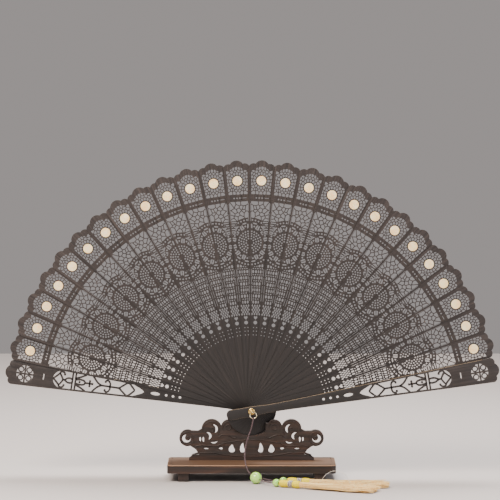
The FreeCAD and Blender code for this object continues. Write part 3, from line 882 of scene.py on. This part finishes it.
def brick_openings(centre):
    """Rows of tall openings of uneven widths, with rows of small ones between them."""
    openings = []
    u = BRICKS_LOW
    row = 0
    while u < BRICKS_HIGH:
        for low, high, widths in ((u, u + 2.5, TALL_WIDTHS), (u + 3.35, u + 4.25, SMALL_WIDTHS)):
            w = -BRICK_REACH + 0.9 * (row % 3)
            n = row
            while w < BRICK_REACH:
                wide = widths[n % len(widths)]
                loop = within_leaf([(low, w), (high, w), (high, w + wide), (low, w + wide)],
                                   EDGE_STRIP + 0.35)
                if len(loop) > 2:
                    middle = (low + high) / 2, w + wide / 2
                    loop = beside_ring(loop, middle, centre, MEDALLION_RADIUS, 1)
                if len(loop) > 2 and area(loop) > 0.6 and middle[0] < centre[0]:
                    openings.append(softened(loop))
                w += wide + BRICK_BAR
                n += 1
            row += 1
        u += BRICK_ROWS
    return openings


def ice_openings(centre, chance):
    """Cracked ice above the medallion: large uneven cells, with a ladder at one side."""
    def side(u):
        return leaf_half(u) - EDGE_STRIP

    low = 146.0
    region = [(low, -side(low)), (BAND_LOW, -side(BAND_LOW)), (BAND_LOW, side(BAND_LOW)),
              (low, side(low))]
    ladder = [box_loop(148.2 + 1.9 * i, -4.9, 0.9, 4.4) for i in range(6)]
    boxes = [(147.0, 158.9, -7.9, -2.0)]
    sites = scattered(147.5, BAND_LOW, 8.4, 3.3, 1.15,
                      lambda u, w: math.hypot(u - centre[0], w - centre[1]) > MEDALLION_RADIUS + 1.0
                      and u > MEDALLION_PLACE and abs(w) < side(u) - 0.6, chance)
    openings = cells(sites, region, 0.7, 9.0, [(centre, MEDALLION_RADIUS, 1)], smallest=0.8,
                     boxes=boxes, soft=0.1)
    return openings + ladder


def lower_openings():
    """The lattice of small diamonds, the heart, the bored hole and the paired dots."""
    openings = []
    for row in range(5):
        u = 87.7 - 1.75 * row
        for w in (-3.0, -1.0, 1.0, 3.0) if row % 2 == 0 else (-2.0, 0.0, 2.0):
            openings.append([(u - 1.25, w), (u, w - 0.7), (u + 1.25, w), (u, w + 0.7)])
    openings.append(heart_loop(77.7, 1.35))
    dots = [(73.6, 0.0, 1.6)]
    dots += [(u, w, 0.45) for u in (69.4, 66.4, 63.2) for w in (-1.3, 1.3)]
    return openings, dots


def side_slits():
    """Hairline slits in the uncut strips along the sides."""
    openings = []
    for low, high in ((91.0, 119.0), (158.0, 174.0)):
        steps = round((high - low) / 8)
        for i in range(steps):
            a = low + (high - low) * i / steps + 0.5
            b = low + (high - low) * (i + 1) / steps - 0.5
            for s in (-1, 1):
                inner, outer = EDGE_STRIP - 0.25, EDGE_STRIP - 0.6
                openings.append([(a, s * (leaf_half(a) - inner)), (b, s * (leaf_half(b) - inner)),
                                 (b, s * (leaf_half(b) - outer)), (a, s * (leaf_half(a) - outer))])
    return openings


def leaf_piercings():
    """A leaf's openings and dots, with its medallion centred on its upper edge."""
    chance = random.Random(11)
    centre = (MEDALLION_PLACE, leaf_half(MEDALLION_PLACE) - LEAF_OVERLAP / 2)
    openings, dots = medallion_openings(centre)
    dots = [(u, w, r) for u, w, r in dots if abs(w) < leaf_half(u) - MEDALLION_STRIP - r + 0.25]
    openings += crown_openings(chance)
    openings.append(oval(DISC_PLACE, 0.0, DISC_RADIUS, DISC_RADIUS, range(0, 360, 10)))
    openings += brick_openings(centre)
    openings += ice_openings(centre, chance)
    lower, more = lower_openings()
    openings += lower + side_slits()
    return openings, dots + more + [(0.0, 0.0, RIVET_HOLE)]


def band_piercings():
    """The band's slots, slit and holes, which lie the same way on every leaf."""
    openings = [box_loop(u, RIBBON_SLOT, 0.8, 1.5) for u in RIBBON_PLACES]
    openings.append(box_loop(177.9, -5.2, 0.5, 3.2))
    dots = [(177.9, w, 0.65) for w in (3.6, 1.2, -1.2)]
    return openings, dots


def box_loop(u, w, along, across):
    return [(u - along / 2, w - across / 2), (u + along / 2, w - across / 2),
            (u + along / 2, w + across / 2), (u - along / 2, w + across / 2)]


def heart_loop(u, size):
    """A heart whose point is towards the rivet."""
    loop = []
    for i in range(16):
        t = 2 * math.pi * i / 16
        wide = math.sin(t) ** 3
        tall = (13 * math.cos(t) - 5 * math.cos(2 * t) - 2 * math.cos(3 * t)
                - math.cos(4 * t)) / 16
        loop.append((u + tall * size * 1.3, wide * size * 1.15))
    return loop


# ---- sticks in their places ----

def stick_place(node, number, thickness=LEAF_THICKNESS):
    """Where a stick drawn along +X in the XY plane, its front face up, goes in the open fan."""
    turn = Matrix.Rotation(math.radians(FIRST_ANGLE + number * STICK_PITCH), 4, (0, -1, 0))
    stand = Matrix.Rotation(math.radians(90), 4, "X")
    lift = Matrix.Translation((0, 0, -thickness * MM))
    there = Matrix.Translation((PIVOT.x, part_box(node)[0].y, PIVOT.z))
    return there @ turn @ stand @ lift @ TO_METRES


# Painted light: the wood's brightness at the shank, and how it rises from there to the tip, painted
# to stand in for light falling more on the fan's top.
SHANK_PAINTED_SHADE, PAINTED_LIGHT_RISE = 0.5, 0.8
PAINTED_LIGHT_LOW, PAINTED_LIGHT_LENGTH = 70, 120


def held(share):
    """A share held between 0 and 1."""
    return min(1.0, max(0.0, share))


def with_grain_and_painted_light(mesh, number, tone):
    """Stores wood coordinates in millimetres, different on each stick, and the stick's tone times a
    painted shade:
    darker at the shank and lighter towards the tip, where light falls more."""
    shift = Vector((number * 61.0, number * 17.0, number * 5.0))
    store(mesh, "grain", [x for v in mesh.vertices for x in v.co + shift], "POINT",
          "FLOAT_VECTOR")
    tones_with_painted_light = [tone * (SHANK_PAINTED_SHADE + PAINTED_LIGHT_RISE * held((v.co.x - PAINTED_LIGHT_LOW) / PAINTED_LIGHT_LENGTH))
             for v in mesh.vertices]
    store(mesh, "tone", tones_with_painted_light, "POINT")



def flank(low, high, count):
    return [low + (high - low) * i / (count - 1) for i in range(count)]


def make_leaves():
    openings, dots = leaf_piercings()
    band_openings, band_dots = band_piercings()
    widen = (SHANK_WIDTH - LEAF_OVERLAP) / math.radians(STICK_PITCH)
    outline = stick_outline(leaf_half, SHANK_WIDTH / 2, [-16.0, 30.0, widen, 120.0, 165.0])
    chance = random.Random(4)
    for number, name in LEAVES:
        flip = 1 if number % 2 else -1
        loops = [[(u, flip * w) for u, w in loop] for loop in [outline] + openings]
        marks = [(u, flip * w, r) for u, w, r in dots] + band_dots
        mesh = pierced(loops + band_openings, marks, LEAF_THICKNESS, 10)
        with_grain_and_painted_light(mesh, number, chance.uniform(0.88, 1.12))
        mesh.transform(stick_place(name, number))
        put("fretted_" + name, mesh, None, name, [name])


# ---- guards ----

WINDOW_LOW, WINDOW_HIGH = 91.5, 169.0
WINDOW_BORDER = 1.4
GUARD_MEDALLION = 193.0


def window_edge(u):
    return guard_half(u) - WINDOW_BORDER


def window_loop():
    """The guard's long window: a pointed foot and a round top."""
    radius = window_edge(WINDOW_HIGH - 7.0)
    shoulder = WINDOW_HIGH - radius
    side = [(WINDOW_LOW, 0.0), (93.2, 1.5), (96.0, 2.9)]
    side += [(u, window_edge(u)) for u in flank(101.0, shoulder, 12)]
    arch = [(shoulder + radius * math.sin(math.radians(a)), radius * math.cos(math.radians(a)))
            for a in range(10, 180, 10)]
    return side + arch + [(u, -w) for u, w in reversed(side[1:])]


def smooth_run(points, steps=6):
    """A smooth line through the points given, as a Catmull-Rom curve."""
    run = []
    for i in range(len(points) - 1):
        p0, p1 = Vector(points[max(i - 1, 0)]), Vector(points[i])
        p2, p3 = Vector(points[i + 1]), Vector(points[min(i + 2, len(points) - 1)])
        for s in range(steps):
            t = s / steps
            run.append(0.5 * (2 * p1 + (p2 - p0) * t + (2 * p0 - 5 * p1 + 4 * p2 - p3) * t * t
                              + (3 * p1 - p0 - 3 * p2 + p3) * t ** 3))
    run.append(Vector(points[-1]))
    return [(p.x, p.y) for p in run]


def guard_scrolls(lift):
    """The bars inside the guard's window, as lines, and the knobs at their ends. lift moves the
    middle cross bars up the guard."""
    def edge(u, inset=0.0):
        return (u, window_edge(u) + 0.3 - inset)

    half = [
        smooth_run([(99.5, 0.0), (102.0, 2.7), edge(105.5), (109.6, 2.7), (112.8, 0.0)]),
        smooth_run([(118.5, 0.0), (118.4, 2.2), (119.3, 4.2), (121.2, 4.9), (122.3, 3.9)]),
        smooth_run([(125.5, 0.0), (129.0, 2.0), edge(133.0)]),
        smooth_run([(139.3, 0.0), (140.6, 1.6), (143.5, 2.2), (146.0, 1.8), (147.7, 1.6)]),
        smooth_run([edge(139.0), edge(142.2, 1.9), (145.2, 3.6), (147.7, 2.6)]),
        smooth_run([(150.3, 1.4), (152.6, 2.0), (155.6, 1.6), (158.5, 0.0)]),
        smooth_run([(160.5, 0.0), (162.0, 2.7), (163.7, 4.5), (166.0, 2.5), (168.8, 0.0)]),
        smooth_run([(163.7, 4.5), (163.4, 6.0), (161.6, 6.6), (159.8, 5.9), (159.0, 4.9)]),
        [(147.7, 0.0), edge(147.7)],
        [(150.3, 0.0), edge(150.3)],
        [(135.5, 0.0), (135.5, 2.0)],
    ]
    lines = half + [[(u, -w) for u, w in run] for run in half]
    lines += [[(112.8, 0.0), (118.5, 0.0)], [(118.5, 0.0), (125.5, 0.0)],
              [(133.4, 0.0), (139.3, 0.0)], [(158.5, 0.0), (160.5, 0.0)]]
    knobs = [(122.4, 3.6), (159.0, 4.6), (135.5, 2.1), (144.2, 0.0)]
    knobs += [(u, -w) for u, w in knobs if w] + [(133.2, 0.0)]

    def lifted(u):
        return u + lift * held((u - 112.8) / 6) * held((160.5 - u) / 8)
    return ([[(lifted(u), w) for u, w in run] for run in lines],
            [(lifted(u), w) for u, w in knobs])


def medallion_curls():
    """Four small rings in the quarters of the guard's medallion."""
    return [oval(GUARD_MEDALLION + su * 3.5, sw * 3.5, 2.2, 2.2, range(0, 361, 15))
            for su in (-1, 1) for sw in (-1, 1)]


def medallion_loops():
    """Four quarter openings between the medallion's rim and its cross bars."""
    radius, bar = 7.2, 0.65
    loops = []
    start = math.asin(bar / radius)
    for quarter in range(4):
        turn = quarter * math.pi / 2
        arc = [start + (math.pi / 2 - 2 * start) * i / 8 for i in range(9)]
        points = [(bar, bar)] + [(radius * math.cos(a), radius * math.sin(a)) for a in arc]
        loops.append([(GUARD_MEDALLION + x * math.cos(turn) - y * math.sin(turn),
                       x * math.sin(turn) + y * math.cos(turn)) for x, y in points])
    return loops


def make_guards():
    outline = stick_outline(guard_half, 4.2, flank(-16.0, 197.0, 30))
    loops = [outline, window_loop(), box_loop(177.0, 0.0, 1.0, 5.0)] + medallion_loops()
    loops.append(oval(82.0, 0.0, 3.95, 1.45, range(0, 360, 18)))
    dots = [(0.0, 0.0, RIVET_HOLE)] + [(u, 0.0, 1.1) for u in (72.7, 66.9, 61.0)]
    for number, name, lift in ((0, "front_guard", 0.0), (LEAF_COUNT + 1, "back_guard", 2.3)):
        low, high = box_mm(name)
        thickness = high.y - low.y
        plate = pierced(loops, dots, thickness, 24)
        lines, knobs = guard_scrolls(lift)
        pieces = []
        for runs, width in ((lines, 1.5), (medallion_curls(), 1.0)):
            bars = line_mesh(runs, closed=False)
            bars.transform(Matrix.Translation((0, 0, thickness / 2)))
            pieces.append(grown(bars, BAR, Width=width, Height=thickness * 0.78,
                                Finish=SANDALWOOD))
        rounds = [oval(u, w, 0.95, 0.95, range(0, 360, 15)) for u, w in knobs]
        balls = pierced(rounds, (), thickness * 0.84, 12)
        balls.transform(Matrix.Translation((0, 0, thickness * 0.08)))
        bars = joined(*pieces, balls)
        for mesh in (plate, bars):
            mesh.transform(TO_METRES)
        whole = joined(finished(plate, 0.4, 2), finished(bars, 0.14, 1, 60.0))
        whole.transform(TO_METRES.inverted())
        # Painted highlight: strongest on the outer edges, and faint on the cut ones.
        painted_light = whole.attributes["painted_light"].data
        for face in whole.polygons:
            inset = guard_half(face.center.x) - abs(face.center.y)
            outer = inset < 0.7 and face.center.x < 200
            painted_light[face.index].value *= 1.0 if outer else 0.22
            if outer and inset < 0.1:
                painted_light[face.index].value = 0.7
        with_grain_and_painted_light(whole, 40 + number, 0.78)
        whole.transform(stick_place(name, number, thickness))
        put("pierced_" + name, shade(whole, 40.0), SANDALWOOD, name, [name])


# ---- inlays and ribbon ----

def lathe(profile, sides, closed_ends=True):
    """A turned mesh from (radius, height) pairs, round the Z axis, its faces outwards."""
    build = bmesh.new()
    rings = []
    for radius, height in profile:
        places = ring_sites((0, 0), radius, sides) if radius else [(0, 0)]
        rings.append([build.verts.new((x, y, height)) for x, y in places])
    pairs = list(zip(rings, rings[1:]))
    if closed_ends:
        pairs.append((rings[-1], rings[0]))
    for a, b in pairs:
        for i in range(sides):
            j = (i + 1) % sides
            ring = [a[i % len(a)], a[j % len(a)], b[j % len(b)], b[i % len(b)]]
            corners = list(dict.fromkeys(ring))
            if len(corners) > 2:
                build.faces.new(corners)
    bmesh.ops.recalc_face_normals(build, faces=build.faces)
    return mesh_of(build)


def make_inlays():
    """Bone discs with a faintly domed, polished face."""
    t = LEAF_THICKNESS
    r = DISC_RADIUS - 0.03
    profile = [(0, 0.0), (r - 0.1, 0.0), (r, 0.08), (r, t - 0.1), (r - 0.12, t - 0.02),
               (r * 0.6, t + 0.02), (0, t + 0.03)]
    for number, name in LEAVES:
        disc = lathe(profile, 40, closed_ends=False)
        disc.transform(stick_place(name, number) @ Matrix.Translation((DISC_PLACE, 0, 0)))
        put("inlay_disc_%02d" % number, shade(disc, 30.0), BONE, name)


def bent_strip(place, width, line, thin):
    """A flat strip across a leaf: line gives its (across, height) stations."""
    build = bmesh.new()
    rows = []
    for w, z in line:
        rows.append([build.verts.new((place + s * width / 2, w, z + k * thin))
                     for s, k in ((-1, 0), (1, 0), (1, 1), (-1, 1))])
    for a, b in zip(rows, rows[1:]):
        for i in range(4):
            j = (i + 1) % 4
            build.faces.new((a[i], a[j], b[j], b[i]))
    build.faces.new(rows[0])
    build.faces.new(rows[-1])
    bmesh.ops.recalc_face_normals(build, faces=build.faces)
    return mesh_of(build)


def make_ribbon():
    """Two narrow silk ribbons, threaded leaf by leaf: out of a leaf's slots and away behind its
    neighbour.
    A dark line is painted on the wood's face where the ribbons run behind the leaf, as painted
    shade."""
    slot, thin, air, t = RIBBON_SLOT, 0.04, 0.03, LEAF_THICKNESS
    for number, name in LEAVES:
        ribbons, painted_shade = [], []
        for place in RIBBON_PLACES:
            edge = leaf_half(place) - 0.9
            line = [(-edge, t + air), (slot - 0.5, t + air), (slot, t * 0.5), (slot + 0.5, -air),
                    (edge, -air)]
            ribbons.append(bent_strip(place, 1.0, line[:3], thin))
            ribbons.append(bent_strip(place, 0.7, [(w, z - thin) for w, z in line[2:]], thin))
            # Painted shade: a thin dark strip on the leaf's face along the ribbon's hidden run.
            painted_shade.append(bent_strip(place, 0.35, [(slot + 1.2, t - 0.01), (edge + 0.2, t - 0.01)],
                                    0.02))
        for label, pieces, material, slot_name in (
                ("ribbon_%02d", ribbons, RIBBON_SILK, "ribbon_silk"),
                ("painted_ribbon_shade_lines_%02d", painted_shade, RIBBON_SHADE_PAINT, "sandalwood")):
            mesh = joined(*pieces)
            mesh.transform(stick_place(name, number))
            put(label % number, shade(mesh), material, name)


# ---- rivet, eyelet and ring ----

def make_hardware():
    """Domed eyelets with a rolled rim, and the wire ring with its soldered joint."""
    for node, face_out in (("front_eyelet", -1), ("back_washer", 1)):
        low, high = box_mm(node)
        r = (high.x - low.x) / 2
        t = high.y - low.y
        hole = RIVET_HOLE - 0.05
        profile = [(hole, 0), (r - 0.15, 0), (r, t * 0.3), (r - 0.15, t * 0.75),
                   (r - 0.55, t), (hole + 0.75, t * 0.8), (hole + 0.35, t * 0.85), (hole, t * 0.6)]
        mesh = lathe(profile, 48)
        turn = Matrix.Rotation(math.radians(-90 * face_out), 4, "X")
        back = high.y if face_out < 0 else low.y
        mesh.transform(TO_METRES @ Matrix.Translation((PIVOT.x / MM, back, PIVOT.z / MM)) @ turn)
        put("rolled_" + node, shade(mesh, 50.0), BRASS, "rivet", [node])
    middle = middle_of("tassel_ring")
    wire = (RING_HIGH.y - RING_LOW.y) / 2
    radius = (RING_HIGH.x - RING_LOW.x) / 2 - wire
    loop = [(x, 0.0, z) for x, z in oval(0.0, 0.0, radius, radius, range(0, 360, 6))]
    mesh = threads([loop], wire, 16, PALE_BRASS, closed=True)
    mesh.transform(TO_METRES @ Matrix.Translation(middle))
    put("wire_ring", mesh, None, "rivet", ["tassel_ring"])
    # The cord's end is knotted round the ring: three turns drawn tight.
    turns = [(0.62 * math.cos(a), a * 0.075 - 0.7, 0.62 * math.sin(a) - radius)
             for a in [math.radians(24 * i) for i in range(46)]]
    knot = [(middle.x + y, middle.y + x, middle.z + z) for x, y, z in turns]
    mesh = threads([knot], 0.3, 8, CORD_SILK)
    mesh.transform(TO_METRES)
    put("cord_knot", mesh, None, "rivet")


# ---- beads, heads and skirts ----

def pointed(place, way):
    """Takes a piece turned round Z to its place, its Z axis along the way given."""
    return Matrix.Translation(place) @ way.to_track_quat("Z", "Y").to_matrix().to_4x4()


def make_bead(node, way, bore):
    """A turned bead, a little flattened at its ends, with a chamfered bore."""
    low, high = box_mm(node)
    r = (high.z - low.z) / 2
    profile = [(bore + 0.15, -0.94 * r)] + oval(0.0, 0.0, r, 0.985 * r, range(-72, 73, 6))
    profile += [(bore + 0.15, 0.94 * r), (bore, 0.9 * r), (bore, -0.9 * r)]
    mesh = lathe(profile, 48)
    mesh.transform(TO_METRES @ pointed(middle_of(node), way))
    return put("polished_" + node, shade(mesh, 35.0), JADE, "rivet", [node])


TURN_SIDES = 18              # points in one turn of wound thread


def head_radius(t):
    """The wound head's radius along its length: two swellings and a banded waist."""
    part = t / 0.42 if t < 0.42 else (t - 0.66) / 0.34
    return 2.35 + 0.6 * max(0.0, math.sin(math.pi * part)) ** 0.7 if part > 0 else 2.35


def make_head(label, start, angle, node):
    """Silk wound over a core, with three bands of silver thread round its waist."""
    there = TO_METRES @ pointed(start, heading(angle))

    def wound(bands, pitch, radius, lift, finish):
        """Thread wound over the bands, which are given as shares of the head's length."""
        meshes = []
        for low, high in bands:
            count = round((high - low) * HEAD_LENGTH / pitch * TURN_SIDES)
            run = []
            for i in range(count + 1):
                t = low + (high - low) * i / count
                a = 2 * math.pi * i / TURN_SIDES
                r = head_radius(t) + lift
                run.append((r * math.cos(a), r * math.sin(a), t * HEAD_LENGTH))
            meshes.append(threads([run], radius, 6, finish))
        return meshes

    core = lathe([(0, 0.0)] + [(head_radius(t / 20) - 0.05, HEAD_LENGTH * t / 20)
                               for t in range(21)] + [(0, HEAD_LENGTH)], 24, closed_ends=False)
    waist = lathe([(2.2, HEAD_LENGTH * 0.43), (2.62, HEAD_LENGTH * 0.435),
                   (2.62, HEAD_LENGTH * 0.645), (2.2, HEAD_LENGTH * 0.65)], 24)
    yellow = wound(((0.0, 0.43), (0.65, 1.0)), 0.46, 0.26, 0.0, YELLOW_SILK)
    silver = wound(((0.45, 0.475), (0.525, 0.55), (0.6, 0.625)), 0.34, 0.22, 0.3, SILVER_THREAD)
    pieces = []
    for suffix, mesh, finish, slot, replaced in (
            ("_wound_head", joined(core, *yellow), YELLOW_SILK, "head_thread", [node]),
            ("_head_waist", waist, CORD_SILK, "cord_braid", []),
            ("_head_bands", joined(*silver), SILVER_THREAD, "head_thread", [])):
        mesh.transform(there)
        pieces.append(put(label + suffix, shade(mesh, 60.0), finish, "rivet", replaced))
    return pieces


SKIRT_LENGTH = 66.5
SKIRT_ROOT = 2.2             # the bundle's radius where it leaves the head
SKIRT_HEIGHT = 2.7           # the bundle's middle over the table
SKIRT_THREADS = ((0.15, 260), (0.2, 200), (0.26, 60))     # radius and count
THREAD_STEPS = 12


def make_skirt(label, start, angle, skirt_angle, end_half, node, seed):
    """Hundreds of loose silk threads that leave the head together and spread on the table."""
    chance = random.Random(seed)
    root = start + heading(angle) * (HEAD_LENGTH - 0.6)
    axis = heading(skirt_angle)
    side = Vector((-axis.y, axis.x, 0.0))
    meshes = []
    for thread, count in SKIRT_THREADS:
        lines = []
        for _ in range(count):
            a = chance.uniform(0, 2 * math.pi)
            spread = math.sqrt(chance.uniform(0, 1))
            y0, z0 = SKIRT_ROOT * spread * math.cos(a), SKIRT_ROOT * spread * math.sin(a)
            b = a + chance.gauss(0, 0.4)
            far = spread ** 0.8 * chance.uniform(0.75, 1.05)
            y1 = (end_half - 0.8) * far * math.cos(b)
            z1 = SKIRT_ROOT * far * math.sin(b)
            reach = SKIRT_LENGTH * (chance.uniform(0.9, 1.0) if chance.random() < 0.6
                                    else chance.uniform(0.66, 0.96))
            wave, phase = chance.uniform(0.2, 1.1), chance.uniform(0, 6.28)
            stray = chance.random() < 0.12
            drift = chance.gauss(0, 2.0) if stray else chance.gauss(0, 0.6)
            run = []
            for i in range(THREAD_STEPS + 1):
                t = i / THREAD_STEPS
                ease = t ** 0.85
                y = y0 + (y1 - y0) * ease + wave * math.sin(phase + t * 9) * t + drift * t ** 3
                z = z0 + (z1 - z0) * ease + wave * 0.7 * math.cos(phase + t * 8) * t
                height = root.z + (SKIRT_HEIGHT - root.z) * min(1.0, t * 1.6) + z
                if stray:
                    height += 1.4 * t ** 2 * abs(math.sin(phase))
                point = root + axis * (reach * t) + side * y
                run.append((point.x, point.y, max(thread + 0.05, height)))
            lines.append(run)
        meshes.append(threads(lines, thread, 3, CREAM_SILK))
    mesh = joined(*meshes)
    mesh.transform(TO_METRES)
    return put(label + "_silk_skirt", mesh, CREAM_SILK, "rivet", [node])


def make_stray_threads():
    """Two long threads that have sprung loose from the skirts."""
    runs = [
        [(55.0, -62.0, 3.6), (57.5, -61.8, 7.6), (62.5, -61.0, 12.8), (69.0, -60.0, 14.4),
         (75.5, -61.5, 12.4), (79.0, -63.0, 7.6), (80.5, -64.0, 3.6)],
        [(84.0, -80.0, 3.8), (91.0, -82.0, 5.4), (98.0, -81.0, 5.0), (103.0, -78.5, 2.2)],
    ]
    lines = []
    for run in runs:
        points = resampled(line_points(nurbs_line("stray", run)), 1.2 * MM)
        lines.append([tuple(p / MM) for p in points])
    mesh = threads(lines, 0.13, 5, SILVER_THREAD)
    mesh.transform(TO_METRES)
    return put("stray_threads", mesh, None, "rivet")


def make_tassel():
    jade = make_bead("jade_bead", FRONT_SAG - FALL[-1], 0.95)
    front = make_bead("front_small_bead", FRONT_HEAD - FRONT_SAG, 0.95)
    back = make_bead("back_small_bead", BACK_HEAD - BACK_SAG, 0.9)
    front_head = make_head("front", FRONT_HEAD, FRONT_HEADING, "front_tassel_head")
    back_head = make_head("back", BACK_HEAD, BACK_HEADING, "back_tassel_head")
    front_skirt = make_skirt("front", FRONT_HEAD, FRONT_HEADING, FRONT_SKIRT_HEADING, 12.0,
                             "front_tassel_skirt", 21)
    back_skirt = make_skirt("back", BACK_HEAD, BACK_HEADING, BACK_SKIRT_HEADING, 8.5,
                            "back_tassel_skirt", 22)
    stray = make_stray_threads()
    twisted_cord("twisted_cord", MAIN_ROUTE, 0.6, "rivet", ["tassel_cord"])
    twisted_cord("twisted_branch", BRANCH_ROUTE, 0.55, "rivet",
                 ["second_strand"])


# ---- stand ----

# Beads carved along the panel's scrolls: x, height over the board, radius, start and end degrees.
SCROLL_BEADS = ((53.7, 18.6, 5.6, -150, 200), (33.4, 25.6, 7.3, -10, 215),
                (19.3, 27.6, 4.9, -20, 190), (33.4, 25.6, 1.9, 0, 300), (53.7, 18.6, 1.3, 0, 300),
                (19.3, 27.6, 2.3, 0, 320))
SCROLL_STEPS = 24
# Long beads: x and height over the board.
LONG_BEADS = (((50.2, 3.6), (44.0, 5.8), (34.0, 6.4), (22.0, 4.4), (10.0, 3.4), (0.0, 3.2)),
              ((47.5, 11.5), (43.0, 12.6), (36.0, 12.2), (29.0, 12.0), (23.0, 14.6),
               (17.0, 15.4), (11.0, 16.6), (5.0, 17.2), (0.0, 17.3)),
              ((27.5, 19.5), (24.0, 21.5), (19.0, 20.6), (14.5, 18.6), (12.0, 20.4)))


def scroll_beads(face_y):
    """Half-round beads carved on one face of the panel."""
    runs = []
    for s in (-1, 1):
        for x, height, radius, start, end in SCROLL_BEADS:
            run = []
            for i in range(SCROLL_STEPS + 1):
                a = math.radians(start + (end - start) * i / SCROLL_STEPS)
                shrink = radius * (1.0 - 0.12 * i / SCROLL_STEPS)
                run.append((s * (x + shrink * math.cos(a)), face_y,
                            BOARD_TOP + height + shrink * math.sin(a)))
            runs.append(run)
        for points in LONG_BEADS:
            runs.append([(s * x, face_y, BOARD_TOP + height) for x, height in smooth_run(points)])
    return runs


def make_panel():
    """The carved panel: the CAD shape with its edges softened and scroll beads on both faces."""
    build = bmesh.new()
    build.from_mesh(frame["nodes"]["carved_panel"].data)
    bmesh.ops.remove_doubles(build, verts=build.verts, dist=0.00001)
    bmesh.ops.dissolve_limit(build, angle_limit=math.radians(2.0), verts=build.verts,
                             edges=build.edges)
    carved = finished(mesh_of(build), 0.7, 3, 50.0)
    # A faint painted highlight on the rounded edges.
    for value in carved.attributes["painted_light"].data:
        value.value *= 0.3
    low, high = box_mm("carved_panel")
    raised = joined(*[threads(scroll_beads(face_y), 0.5, 8, WALNUT)
                      for face_y in (low.y + 0.1, high.y - 0.1)])
    raised.transform(TO_METRES)
    whole = shade(joined(carved, raised), 50.0)
    put("scrolled_panel", whole, WALNUT, "stand", ["carved_panel"])


def make_board():
    """The base board: the CAD shape, with a painted highlight on its rounded edges and painted
    light on its top face.
    """
    board = frame["nodes"]["base_board"].data.copy()
    ups = [face.normal.z for face in board.polygons]
    # Painted highlight on the rounded edges and weaker painted light on the top face; the front and
    # sides get none.
    store(board, "painted_light", [0.7 if 0.25 < up < 0.97 else (0.25 if up >= 0.97 else 0.0) for up in ups])
    put("waxed_board", board, WALNUT, "stand", ["base_board"])


def dress_cad_nodes():
    """The pieces whose CAD shape is right get their finish."""
    for node, material in (("stand_feet", WALNUT), ("rear_saddle", WALNUT),
                           ("panel_screws", STEEL), ("rivet_pin", BRASS)):
        mesh = frame["nodes"][node].data
        mesh.materials.clear()
        mesh.materials.append(material)


# ---- floor and light ----

def make_floor():
    mesh = bpy.data.meshes.new("floor")
    reach, back = 6.0, 1.1
    mesh.from_pydata([(-reach, -reach, 0), (reach, -reach, 0), (reach, back, 0),
                      (-reach, back, 0)], [], [(0, 1, 2, 3)])
    floor = show(bpy.data.objects.new("floor", mesh))
    material, tree = new_material("pale_floor")
    fed(tree, tree.nodes["Principled BSDF"], {"Base Color": srgb("#b9b0ab"), "Roughness": 0.8})
    mesh.materials.append(material)


def area_light(name, place, aim, size, power, colour):
    data = bpy.data.lights.new(name, "AREA")
    data.shape = "SQUARE"
    data.size = size
    data.energy = power
    data.color = srgb(colour)[:3]
    lamp = show(bpy.data.objects.new(name, data))
    lamp.location = place
    lamp.rotation_euler = (Vector(aim) - Vector(place)).to_track_quat("-Z", "Y").to_euler()


def make_lights():
    aim = (0.0, 0.0, 0.14)
    area_light("key", (-0.5, -0.8, 1.0), aim, 0.6, 30.0, "#fff6ec")
    area_light("fill", (1.3, -1.1, 0.6), aim, 1.2, 16.0, "#eef3ff")
    area_light("top", (0.1, 0.3, 1.1), aim, 0.6, 28.0, "#ffffff")
    world = bpy.data.worlds.new("studio")
    bpy.context.scene.world = world
    world.use_nodes = True
    fed(world.node_tree, world.node_tree.nodes["Background"], {"Color": srgb("#e0d8d6"),
                                                               "Strength": 0.45})


make_tassel()
make_leaves()
make_guards()
make_inlays()
make_ribbon()
make_hardware()
make_panel()
make_board()
dress_cad_nodes()
make_floor()
make_lights()
